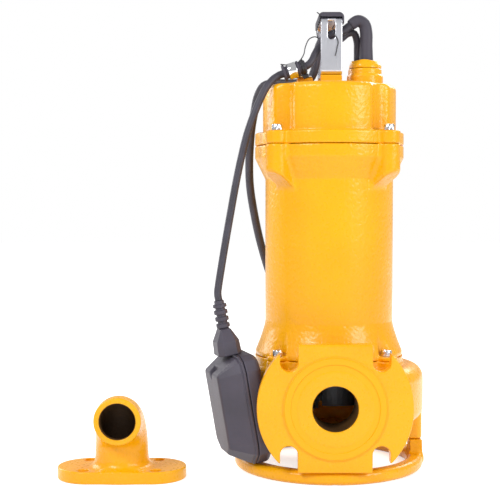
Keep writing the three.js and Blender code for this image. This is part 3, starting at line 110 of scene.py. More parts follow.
@dataclass(frozen=True)
class Finish:
    """A procedural finish; colours are linear, lengths in metres, and scales in features per metre."""

    name: str
    color: tuple[float, float, float]
    deep: tuple[float, float, float]
    roughness: float
    metallic: float = 0.0
    pattern: Pattern = Pattern.GRAINED
    scale: float = 400.0
    height: float = 0.0001
    patchiness: float = 25.0
    coat: float = 0.0
    specular: float = 0.5

    def material(self) -> bpy.types.Material:
        """Returns the finish's material, made at its first use.

        The colour runs between `color` and `deep` with a slow noise, roughness follows the fine pattern,
        and a bump of `height` metres carries the pattern itself.
        """
        found = bpy.data.materials.get(self.name)
        if found:
            return found
        made = bpy.data.materials.new(self.name)
        made.use_nodes = True
        tree = made.node_tree
        tree.nodes.clear()
        link = tree.links.new
        node = lambda kind: tree.nodes.new("ShaderNode" + kind)

        out, shader, place = node("OutputMaterial"), node("BsdfPrincipled"), node("TexCoord")
        shader.inputs["Metallic"].default_value = self.metallic
        shader.inputs["Coat Weight"].default_value = self.coat
        shader.inputs["Coat Roughness"].default_value = 0.12
        shader.inputs["Specular IOR Level"].default_value = self.specular
        link(shader.outputs["BSDF"], out.inputs["Surface"])

        slow = node("TexNoise")
        slow.inputs["Scale"].default_value = self.patchiness
        slow.inputs["Detail"].default_value = 4.0
        link(place.outputs["Object"], slow.inputs["Vector"])
        ramp = node("ValToRGB")
        ramp.color_ramp.elements[0].position = 0.3
        ramp.color_ramp.elements[1].position = 0.62
        ramp.color_ramp.elements[0].color = (*self.deep, 1.0)
        ramp.color_ramp.elements[1].color = (*self.color, 1.0)
        link(slow.outputs["Fac"], ramp.inputs["Fac"])
        link(ramp.outputs["Color"], shader.inputs["Base Color"])

        fine = self._fine(tree, place)
        rough = node("MapRange")
        rough.inputs["To Min"].default_value = self.roughness * 0.8
        rough.inputs["To Max"].default_value = min(1.0, self.roughness * 1.2)
        link(fine, rough.inputs["Value"])
        link(rough.outputs["Result"], shader.inputs["Roughness"])
        bump = node("Bump")
        bump.inputs["Strength"].default_value = 1.0
        bump.inputs["Distance"].default_value = self.height
        link(fine, bump.inputs["Height"])
        link(bump.outputs["Normal"], shader.inputs["Normal"])
        return made

    def _fine(self, tree: bpy.types.NodeTree, place: bpy.types.Node) -> bpy.types.NodeSocket:
        """Adds the fine pattern's nodes.

        Args:
            tree: the material's node tree.
            place: its texture coordinate node.

        Returns:
            The socket that carries the pattern, about 0 to 1.
        """
        link = tree.links.new
        if self.pattern in (Pattern.BRUSHED, Pattern.SHEATH):
            stretch = tree.nodes.new("ShaderNodeMapping")
            stretch.inputs["Scale"].default_value = (1.0, 1.0,
                                                     0.04) if self.pattern is Pattern.BRUSHED else (1.0,
                                                                                                    1.0, 0.2)
            link(place.outputs["Object"], stretch.inputs["Vector"])
            source = stretch.outputs["Vector"]
        else:
            source = place.outputs["Object"]
        noise = tree.nodes.new("ShaderNodeTexNoise")
        noise.inputs["Scale"].default_value = self.scale
        noise.inputs["Detail"].default_value = 1.5 if self.pattern is Pattern.HAMMERED else 4.0
        noise.inputs["Roughness"].default_value = 0.45
        link(source, noise.inputs["Vector"])
        if self.pattern is not Pattern.HAMMERED:
            return noise.outputs["Fac"]
        cells = tree.nodes.new("ShaderNodeTexVoronoi")
        cells.feature = "SMOOTH_F1"
        cells.inputs["Scale"].default_value = self.scale * 0.75
        cells.inputs["Smoothness"].default_value = 0.6
        link(source, cells.inputs["Vector"])
        both = tree.nodes.new("ShaderNodeMath")
        both.operation = "MULTIPLY_ADD"
        both.inputs[1].default_value = 0.6
        link(cells.outputs["Distance"], both.inputs[0])
        link(noise.outputs["Fac"], both.inputs[2])
        return both.outputs["Value"]


PAINT = Finish("hammered_enamel", (0.94, 0.44, 0.002), (0.88, 0.385, 0.001), 0.26, pattern=Pattern.HAMMERED,
               scale=330.0, height=0.00045, patchiness=9.0, coat=0.15, specular=0.32)
PLAIN_PAINT = Finish("smooth_enamel", (0.95, 0.43, 0.001), (0.93, 0.41, 0.001), 0.3,
                     pattern=Pattern.HAMMERED,
                     scale=260.0, height=0.00007, patchiness=12.0, coat=0.1, specular=0.3)
# Painted shade: the yellow paint's hue darkened to about an eighth, for the shade inside the discharge bore
# and the elbow's bore.
BORE_SHADE = Finish("painted_bore_shade", (0.12, 0.055, 0.01), (0.05, 0.022, 0.006), 0.6, pattern=Pattern.CAST,
              scale=500.0,
              height=0.0003)
BRIGHT = Finish("bright_zinc", (0.78, 0.79, 0.82), (0.66, 0.67, 0.70), 0.2, 1.0, Pattern.BRUSHED, 900.0,
                0.00003)
CHROME = Finish("band_chrome", (0.85, 0.85, 0.87), (0.78, 0.78, 0.80), 0.08, 1.0, Pattern.BRUSHED, 700.0,
                0.00001)
STRAP = Finish("brushed_strip", (0.86, 0.87, 0.93), (0.76, 0.77, 0.83), 0.3, 1.0, Pattern.BRUSHED, 1500.0,
               0.00004)
RUBBER = Finish("moulded_rubber", (0.062, 0.056, 0.074), (0.048, 0.043, 0.058), 0.55,
                pattern=Pattern.GRAINED,
                scale=1400.0, height=0.00008, patchiness=40.0, specular=0.35)
FLOAT_SKIN = Finish("float_skin", (0.075, 0.066, 0.092), (0.058, 0.052, 0.07), 0.48,
                    pattern=Pattern.GRAINED,
                    scale=1800.0, height=0.00006, patchiness=30.0, specular=0.4)
SHEATH = Finish("cord_sheath", (0.058, 0.054, 0.072), (0.042, 0.039, 0.05), 0.5, pattern=Pattern.SHEATH,
                scale=1600.0, height=0.00005, patchiness=60.0, specular=0.4)
NYLON = Finish("black_nylon", (0.02, 0.02, 0.024), (0.014, 0.014, 0.017), 0.4, pattern=Pattern.GRAINED,
               scale=900.0, height=0.00003)
COPPER = Finish("varnished_copper", (0.5, 0.17, 0.05), (0.34, 0.10, 0.03), 0.35, 1.0, Pattern.BRUSHED,
                1200.0, 0.0002)
LAMINATION = Finish("stacked_steel", (0.30, 0.31, 0.33), (0.2, 0.2, 0.22), 0.5, 1.0, Pattern.BRUSHED,
                    1400.0, 0.00012)
CERAMIC = Finish("pressed_ceramic", (0.72, 0.66, 0.56), (0.64, 0.58, 0.48), 0.3, scale=900.0,
                 height=0.00002)
CAN = Finish("drawn_can", (0.70, 0.71, 0.73), (0.6, 0.61, 0.63), 0.25, 1.0, Pattern.BRUSHED, 800.0, 0.00003)
CREAM = Finish("cream_plastic", (0.76, 0.70, 0.55), (0.7, 0.63, 0.48), 0.45, scale=900.0, height=0.00003)
IRON = Finish("machined_iron", (0.15, 0.155, 0.165), (0.09, 0.09, 0.10), 0.55, 0.8, Pattern.CAST, 500.0,
              0.0002)

HIDDEN_FINISHES = {
    "paint": PAINT, "bright_steel": BRIGHT, "strap_steel": STRAP, "rubber": RUBBER, "cord_rubber": SHEATH,
    "nylon": NYLON, "copper": COPPER, "lamination": LAMINATION, "ceramic": CERAMIC, "can": CAN,
    "cream": CREAM, "iron": IRON,
}

# ---------------------------------------------------------------------------------------------
# Meshes
# ---------------------------------------------------------------------------------------------


@dataclass
class Surface:
    """Vertices in pump-axis millimetres, quads, triangles, and where known each vertex's outward normal."""

    points: Array
    quads: Array
    triangles: Array = field(default_factory=lambda: np.zeros((0, 3), int))
    normals: Optional[Array] = None

    def moved(self, turn: Array, offset: Sequence[float] = (0.0, 0.0, 0.0)) -> "Surface":
        """Returns the surface turned by a 3 by 3 matrix and then shifted."""
        normals = None if self.normals is None else self.normals @ turn.T
        return Surface(self.points @ turn.T + np.asarray(offset, float), self.quads, self.triangles,
                       normals)

    def shifted(self, *offset: float) -> "Surface":
        """Returns the surface shifted."""
        return self.moved(np.eye(3), offset)


def merged(*parts: Surface) -> Surface:
    """Returns several closed surfaces as one; normals are kept only if every part has them."""
    starts = np.cumsum([0] + [len(p.points) for p in parts[:-1]])
    known = all(p.normals is not None for p in parts)
    return Surface(
        np.concatenate([p.points for p in parts]),
        np.concatenate([p.quads + s for p, s in zip(parts, starts)]),
        np.concatenate([p.triangles + s for p, s in zip(parts, starts)]),
        np.concatenate([p.normals for p in parts]) if known else None,
    )


@dataclass
class Maker:
    """Makes pieces of one sub-assembly: all of them ride on one body."""

    body: str

    def piece(self, name: str, surface: Surface, finish: Finish, slot: str, replaces: Sequence[str] = (),
              sharp: float = 35.0) -> bpy.types.Object:
        """Puts a surface into a mesh object at the origin, dresses it and lets it ride on its body.

        Args:
            name: the piece's name.
            surface: its shape, in pump-axis millimetres.
            finish: its material.
            slot: the record's material slot; not used.
            replaces: the CAD nodes that it stands for.
            sharp: edges that turn more than this many degrees stay sharp, where no normals are given.

        Returns:
            The new object.
        """
        made = mesh_object(name, surface, finish, sharp)
        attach(made, self.body)
        if replaces:
            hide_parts(*replaces)
        LOG.info("%s: %d faces, on %s", name, len(made.data.polygons), self.body)
        return made


def mesh_object(name: str, surface: Surface, finish: Finish, sharp: float = 35.0) -> bpy.types.Object:
    """Returns a new mesh object at the origin, its vertices in row metres."""
    mesh = bpy.data.meshes.new(name)
    quads, triangles = surface.quads.astype(np.int32), surface.triangles.astype(np.int32)
    mesh.vertices.add(len(surface.points))
    mesh.vertices.foreach_set("co", to_row(surface.points).astype(np.float32).ravel())
    mesh.loops.add(quads.size + triangles.size)
    mesh.loops.foreach_set("vertex_index", np.concatenate([quads.ravel(), triangles.ravel()]))
    mesh.polygons.add(len(quads) + len(triangles))
    starts = np.concatenate([np.arange(len(quads)) * 4, quads.size + np.arange(len(triangles)) * 3])
    mesh.polygons.foreach_set("loop_start", starts.astype(np.int32))
    mesh.update(calc_edges=True)
    mesh.shade_smooth()
    if surface.normals is not None:
        mesh.normals_split_custom_set_from_vertices(surface.normals.astype(np.float32))
    else:
        mesh.set_sharp_from_angle(angle=math.radians(sharp))
    mesh.materials.append(finish.material())
    made = bpy.data.objects.new(name, mesh)
    bpy.context.scene.collection.objects.link(made)
    return made


def grid_surface(points: Array, along_closed: bool = False) -> Surface:
    """Joins rings of points into quads and closes open ends with fans.

    Args:
        points: rings of points, shape (rings, points in a ring, 3). With the rings running up, their
            points run anticlockwise seen from above.
        along_closed: the last ring meets the first, so that there are no ends.

    Returns:
        The closed surface.
    """
    rows, columns = points.shape[:2]
    number = np.arange(rows * columns).reshape(rows, columns)
    number = np.concatenate([number, number[:, :1]], axis=1)
    looped = np.concatenate([number, number[:1]], axis=0) if along_closed else number
    quads = np.stack([looped[:-1, :-1], looped[:-1, 1:], looped[1:, 1:], looped[1:, :-1]],
                     axis=-1).reshape(-1, 4)
    flat = points.reshape(-1, 3)
    if along_closed:
        return Surface(flat, quads)
    middles = np.stack([points[0].mean(axis=0), points[-1].mean(axis=0)])
    low, high = np.full(columns, len(flat)), np.full(columns, len(flat) + 1)
    fans = [np.stack([low, number[0, 1:], number[0, :-1]], axis=-1),
            np.stack([high, number[-1, :-1], number[-1, 1:]], axis=-1)]
    return Surface(np.concatenate([flat, middles]), quads, np.concatenate(fans))


def turned(profile: Sequence[tuple[float, float]], sides: int = 48, ring: bool = False) -> Surface:
    """Turns a profile about Z: each point (r, z) becomes the circle (r cos a, r sin a, z).

    Args:
        profile: radius and height pairs that run up the outside; a ring's run once round its section.
        sides: points round the axis.
        ring: the profile closes on itself and doesn't reach the axis.

    Returns:
        The closed surface; a profile that isn't a ring is closed by flat fans at its two ends.
    """
    r, z = np.array(profile, float).T
    angle = np.arange(sides) * 2 * np.pi / sides
    points = np.stack([np.outer(r, np.cos(angle)), np.outer(r, np.sin(angle)),
                       np.repeat(z[:, None], sides, axis=1)], axis=-1)
    return grid_surface(points, along_closed=ring)


def smooth_route(points: Sequence, spacing: float) -> Array:
    """Returns points at even spacing along a centripetal Catmull-Rom curve through chosen points.

    Between two points the curve is the blend of the straight lines through its four nearest points, each
    weighted by the square root of their distances; its ends use a point mirrored outwards.

    Args:
        points: the chosen points, in millimetres.
        spacing: the largest distance between two results.

    Returns:
        The points along the curve, shape (count, 3).
    """
    p = np.array(points, float)
    p = np.concatenate([[2 * p[0] - p[1]], p, [2 * p[-1] - p[-2]]])
    knots = np.concatenate([[0.0], np.cumsum(np.linalg.norm(np.diff(p, axis=0), axis=1) ** 0.5)])
    pieces = []
    for i in range(1, len(p) - 2):
        t0, t1, t2, t3 = knots[i - 1:i + 3]
        t = np.linspace(t1, t2, 12, endpoint=False)[:, None]
        a1 = (t1 - t) / (t1 - t0) * p[i - 1] + (t - t0) / (t1 - t0) * p[i]
        a2 = (t2 - t) / (t2 - t1) * p[i] + (t - t1) / (t2 - t1) * p[i + 1]
        a3 = (t3 - t) / (t3 - t2) * p[i + 1] + (t - t2) / (t3 - t2) * p[i + 2]
        b1 = (t2 - t) / (t2 - t0) * a1 + (t - t0) / (t2 - t0) * a2
        b2 = (t3 - t) / (t3 - t1) * a2 + (t - t1) / (t3 - t1) * a3
        pieces.append((t2 - t) / (t2 - t1) * b1 + (t - t1) / (t2 - t1) * b2)
    return evenly_spaced(np.concatenate([*pieces, p[-2:-1]]), spacing)


def evenly_spaced(line: Array, spacing: float) -> Array:
    """Returns points at even distances along a polyline, its two ends kept."""
    run = np.concatenate([[0.0], np.cumsum(np.linalg.norm(np.diff(line, axis=0), axis=1))])
    at = np.linspace(0.0, run[-1], max(3, int(math.ceil(run[-1] / spacing)) + 1))
    return np.stack([np.interp(at, run, line[:, k]) for k in range(3)], axis=-1)


def path_frames(line: Array) -> tuple[Array, Array, Array]:
    """Returns the tangent and two cross directions at each point of a path, turned as little as possible.

    Each step carries the last cross direction over and takes out what lies along the new tangent.
    """
    tangent = np.gradient(line, axis=0)
    tangent /= np.linalg.norm(tangent, axis=1, keepdims=True)
    first = np.cross(tangent[0], [0.0, 0.0, 1.0] if abs(tangent[0][2]) < 0.9 else [0.0, 1.0, 0.0])
    across = [first / np.linalg.norm(first)]
    for direction in tangent[1:]:
        carried = across[-1] - direction * np.dot(across[-1], direction)
        across.append(carried / np.linalg.norm(carried))
    side = np.array(across)
    return tangent, side, np.cross(tangent, side)


def tube(line: Array, radius: float | Array, sides: int = 14, closed: bool = False) -> Surface:
    """Carries a circle along a path; every ring is centred on its path point.

    Args:
        line: the path's points.
        radius: one radius, or one for each point.
        sides: points round the tube.
        closed: the path's last point runs on into its first.

    Returns:
        The tube, closed at its ends unless the path is.
    """
    _, side, other = path_frames(line)
    angle = np.arange(sides) * 2 * np.pi / sides
    r = np.broadcast_to(np.asarray(radius, float), (len(line),))[:, None, None]
    rings = line[:, None] + r * (np.cos(angle)[None, :, None] * side[:, None] + np.sin(angle)[None, :, None]
                                 * other[:, None])
    return grid_surface(rings, along_closed=closed)


# ---------------------------------------------------------------------------------------------
# Level surfaces: distances in millimetres, negative inside
# ---------------------------------------------------------------------------------------------


def soft_join(a: Array, b: Array, k: float) -> Array:
    """Joins two distances with a fillet about k wide: the smaller one, less h squared times k over 4."""
    h = np.maximum(k - np.abs(a - b), 0.0) / k
    return np.minimum(a, b) - h * h * k * 0.25


def soft_cut(a: Array, b: Array, k: float) -> Array:
    """Cuts b out of a with an edge rounded about k wide."""
    return -soft_join(-a, b, k)


def soft_common(a: Array, b: Array, k: float) -> Array:
    """Keeps what lies in both a and b, with an edge rounded about k wide."""
    return -soft_join(-a, -b, k)


def rounded(dx: Array, dz: Array, edge: float) -> Array:
    """Distance of a rounded right-angled edge from how far a point lies past each of its two faces."""
    a, b = dx + edge, dz + edge
    return np.minimum(np.maximum(a, b), 0.0) + np.hypot(np.maximum(a, 0.0), np.maximum(b, 0.0)) - edge


def column(x: Array, y: Array, z: Array, r: float, low: float, high: float, edge: float = 0.6) -> Array:
    """Distance of an upright cylinder about the origin with rounded edges."""
    return rounded(np.hypot(x, y) - r, np.abs(z - (low + high) / 2) - (high - low) / 2, edge)


def block(x: Array, y: Array, z: Array, low: Sequence[float], high: Sequence[float],
          edge: float = 0.6) -> Array:
    """Distance of a box from its two corners, with rounded edges."""
    d = [np.abs(v - (a + b) / 2) - (b - a) / 2 + edge for v, a, b in zip((x, y, z), low, high)]
    outside = np.sqrt(sum(np.maximum(v, 0.0) ** 2 for v in d))
    return outside + np.minimum(np.maximum(np.maximum(d[0], d[1]), d[2]), 0.0) - edge


def polygon(u: Array, v: Array, corners: Sequence[tuple[float, float]]) -> Array:
    """Distance to a closed outline's nearest side, negative where a ray crosses it an odd number of times."""
    nearest = np.full(np.broadcast(u, v).shape, np.inf)
    inside = np.zeros(nearest.shape, bool)
    for (x0, y0), (x1, y1) in zip(corners, [*corners[1:], corners[0]]):
        ex, ey = x1 - x0, y1 - y0
        along = np.clip(((u - x0) * ex + (v - y0) * ey) / (ex * ex + ey * ey), 0.0, 1.0)
        nearest = np.minimum(nearest, np.hypot(u - x0 - along * ex, v - y0 - along * ey))
        if y0 != y1:
            inside ^= ((y0 > v) != (y1 > v)) & (u < x0 + (v - y0) * ex / ey)
    return np.where(inside, -nearest, nearest)


def lathe(x: Array, y: Array, z: Array, corners: Sequence[tuple[float, float]],
          table: float = 0.5) -> Array:
    """Distance of a profile turned about Z, read from a table of its distances by height and radius.

    Args:
        x, y, z: where the distance is wanted.
        corners: the profile's radius and height pairs, once round.
        table: the table's step.

    Returns:
        The distances, read between the four nearest table entries.
    """
    r = np.hypot(x, y)
    r_axis = np.arange(0.0, float(r.max()) + 2 * table, table)
    z_axis = np.arange(float(z.min()) - table, float(z.max()) + 2 * table, table)
    values = polygon(*np.meshgrid(r_axis, z_axis, indexing="ij"), corners)
    at_r, at_z = r / table, np.broadcast_to((z - z_axis[0]) / table, np.broadcast(r, z).shape)
    at_r = np.broadcast_to(at_r, at_z.shape)
    i, j = at_r.astype(int), at_z.astype(int)
    fr, fz = at_r - i, at_z - j
    low = values[i, j] * (1 - fr) + values[i + 1, j] * fr
    high = values[i, j + 1] * (1 - fr) + values[i + 1, j + 1] * fr
    return low * (1 - fz) + high * fz


def level_surface(distance: Field, low: Sequence[float], high: Sequence[float], step: float) -> Surface:
    """Finds the surface where a distance formula is zero.

    Each grid cell whose corners lie on both sides gets one vertex, at the mean of where its edges cross
    zero; each grid edge that crosses zero joins its four cells by a quad. Three steps along the gradient
    then bring every vertex onto the surface, and the gradient is its normal.

    Args:
        distance: the formula, of x, y and z in millimetres.
        low: the grid's lowest corner.
        high: its highest corner.
        step: its spacing.

    Returns:
        The closed surface with its normals.
    """
    axes = [np.arange(a - 1.63 * step, b + 2.63 * step, step) for a, b in zip(low, high)]
    x, y, z = np.meshgrid(*axes, indexing="ij", sparse=True)
    value = np.array(np.broadcast_to(distance(x, y, z), [len(a) for a in axes]), dtype=float)
    for axis in range(3):
        for side in (0, -1):
            edge = np.moveaxis(value, axis, 0)
            edge[side] = np.maximum(edge[side], 0.1 * step)
    inside = value < 0
    shape = np.array(value.shape) - 1
    part = lambda grid, i, j, k: grid[i:i + shape[0], j:j + shape[1], k:k + shape[2]]
    corners = [(i, j, k) for i in (0, 1) for j in (0, 1) for k in (0, 1)]
    count = sum(part(inside, *c).astype(np.int8) for c in corners)
    mixed = (count > 0) & (count < 8)
    cell = np.argwhere(mixed)
    number = np.full(mixed.shape, -1)
    number[mixed] = np.arange(len(cell))

    total, hits = np.zeros((len(cell), 3)), np.zeros(len(cell))
    for axis in range(3):
        for start in [c for c in corners if c[axis] == 0]:
            a_at = cell + start
            b_at = a_at + np.eye(3, dtype=int)[axis]
            a, b = value[tuple(a_at.T)], value[tuple(b_at.T)]
            crosses = (a < 0) != (b < 0)
            share = np.where(crosses, a / np.where(crosses, a - b, 1.0), 0.0)
            total += crosses[:, None] * (np.array(start) + share[:, None] * np.eye(3)[axis])
            hits += crosses
    points = np.array([a[0] for a in axes]) + (cell + total / hits[:, None]) * step

    quads = []
    for axis in range(3):
        u, v = (axis + 1) % 3, (axis + 2) % 3
        ahead = np.take(inside, range(1, inside.shape[axis]), axis)
        behind = np.take(inside, range(0, inside.shape[axis] - 1), axis)
        for outwards, found in ((True, behind & ~ahead), (False, ahead & ~behind)):
            edge = np.argwhere(found)
            around = []
            for du, dv in ((-1, -1), (0, -1), (0, 0), (-1, 0)):
                where = edge.copy()
                where[:, u] += du
                where[:, v] += dv
                around.append(number[tuple(where.T)])
            quads.append(np.stack(around if outwards else around[::-1], axis=-1))
    faces = np.concatenate(quads)

    def gradient(p: Array) -> Array:
        """Returns the formula's slope at each point, by differences a twentieth of a step wide."""
        h = 0.05 * step
        return np.stack([(distance(*(p + h * e).T) - distance(*(p - h * e).T)) / (2 * h)
                         for e in np.eye(3)], axis=-1)

    for _ in range(3):
        slope = gradient(points)
        size = np.maximum((slope ** 2).sum(axis=1), 0.05)
        move = -distance(*points.T)[:, None] * slope / size[:, None]
        length = np.linalg.norm(move, axis=1, keepdims=True)
        points = points + move * np.minimum(1.0, 0.4 * step / np.maximum(length, 1e-9))
    slope = gradient(points)
    normals = slope / np.maximum(np.linalg.norm(slope, axis=1, keepdims=True), 1e-9)
    return Surface(points, faces, normals=normals)


def diagonal(x: Array, y: Array) -> tuple[Array, Array]:
    """Folds the four corners onto one: how far out along a 45 degree line, and how far to its side."""
    return (np.abs(x) + np.abs(y)) * math.sqrt(0.5), (np.abs(x) - np.abs(y)) * math.sqrt(0.5)


def corner_lug(x: Array, y: Array, z: Array, distance: float, r: float, low: float, high: float,
               inwards: float = 30.0, edge: float = 1.5) -> Array:
    """Distance of four round-ended lugs, one on each diagonal, with a web towards the axis."""
    out, side = diagonal(x, y)
    plan = np.where(out > distance, np.hypot(out - distance, side) - r,
                    np.maximum(np.abs(side) - r, distance - inwards - out))
    return rounded(plan, np.abs(z - (low + high) / 2) - (high - low) / 2, edge)


def about(x: Array, y: Array, degrees: float) -> tuple[Array, Array]:
    """Returns how far a point lies out along a direction, and how far to its left."""
    c, s = math.cos(math.radians(degrees)), math.sin(math.radians(degrees))
    return x * c + y * s, y * c - x * s


def turn_about_z(degrees: float) -> Array:
    """Returns the matrix that turns about Z."""
    return np.array(Euler((0.0, 0.0, math.radians(degrees))).to_matrix())


# ---------------------------------------------------------------------------------------------
# Foot ring and volute casing
# ---------------------------------------------------------------------------------------------


@dataclass
class FootRing(Maker):
    """The ring that the pump stands on, with its three legs and four screws."""

    outer_r: float = 97.0
    width: float = 16.0
    height: float = 13.0
    rounding: float = 5.0
    leg_angles: tuple[float, ...] = (0.0, 75.0, 150.0)
    leg_depth: float = 14.0
    leg_width: float = 20.0
    leg_top: float = 26.7
    screw_r: float = 90.0
    step: float = 1.1

    def distance(self, x: Array, y: Array, z: Array) -> Array:
        """Distance of the ring: a rounded rectangle turned about the axis, joined to three legs."""
        middle = self.outer_r - self.width / 2
        body = rounded(np.abs(np.hypot(x, y) - middle) - self.width / 2,
                       np.abs(z - self.height / 2) - self.height / 2, self.rounding)
        legs, holes = [], []
        for degrees in self.leg_angles:
            out, side = about(x, y, degrees)
            spread = np.maximum(0.0, self.leg_top - z) * 0.16
            leg = rounded(np.maximum(np.abs(out - self.screw_r) - self.leg_depth / 2 + 0.6,
                                     np.abs(side) - self.leg_width / 2 - spread + 1.0),
                          np.abs(z - (6.0 + self.leg_top) / 2) - (self.leg_top - 6.0) / 2, 1.2)
            legs.append(leg)
        for degrees in (*self.leg_angles, 270.0):
            out, side = about(x, y, degrees)
            holes.append(column(out - self.screw_r, side, z, 4.5, -5.0, 8.2, 0.3))
        body = soft_join(body, np.minimum.reduce(legs), 5.0)
        return soft_cut(body, np.minimum.reduce(holes), 0.6)

    def build(self) -> None:
        """Makes the ring and its screws."""
        r = self.outer_r + 1
        ring = level_surface(self.distance, (-r, -r, 0.0), (r, r, self.leg_top), self.step)
        self.piece("foot_ring", ring, PAINT, "paint", ["base_ring"])
        for i, degrees in enumerate((*self.leg_angles, 270.0), 1):
            end = 23.0 if degrees == 270.0 else 37.0
            screw = socket_screw(2.5, 4.25, 5.0, end - 8.0).moved(np.diag([1.0, -1.0, -1.0]))
            at = np.array([self.screw_r * math.cos(math.radians(degrees)),
                           self.screw_r * math.sin(math.radians(degrees)), 8.0])
            self.piece(f"foot_screw_{i}", screw.shifted(*at), BRIGHT, "bright_steel", [f"base_screw_{i}"])


def socket_screw(thread_r: float, head_r: float, head_height: float, length: float) -> Surface:
    """Returns a socket screw, its head's underside at z = 0 and its thread downwards.

    The head is a turned profile with a chamfered foot, a rounded top edge and a blind round socket; its
    knurl is a ripple on the head's radius, r = head_r + 0.12 cos(36 a).
    """
    angle = np.arange(72) * 2 * np.pi / 72
    socket = head_r * 0.52
    depth = head_height * 0.5
    profile = [(thread_r * 0.7, -length), (thread_r, -length + 0.8), (thread_r, 0.0), (head_r - 0.3, 0.0),
               (head_r, 0.3),
               (head_r, head_height - 0.8), (head_r - 0.25, head_height - 0.25),
               (head_r - 0.8, head_height),
               (socket + 0.3, head_height), (socket, head_height - 0.3), (socket, head_height - depth)]
    r, z = np.array(profile).T
    knurl = np.where((r > head_r - 0.05)[:, None], 0.12 * np.cos(36 * angle), 0.0)
    hexagon = 1.0 / np.cos((angle + np.pi / 6) % (np.pi / 3) - np.pi / 6)
    shape = np.where((np.arange(len(r)) >= len(r) - 2)[:, None], 0.9 * hexagon, 1.0)
    radius = r[:, None] * shape + knurl
    rings = np.stack([radius * np.cos(angle), radius * np.sin(angle), np.repeat(z[:, None], 72, axis=1)],
                     axis=-1)
    return grid_surface(rings)


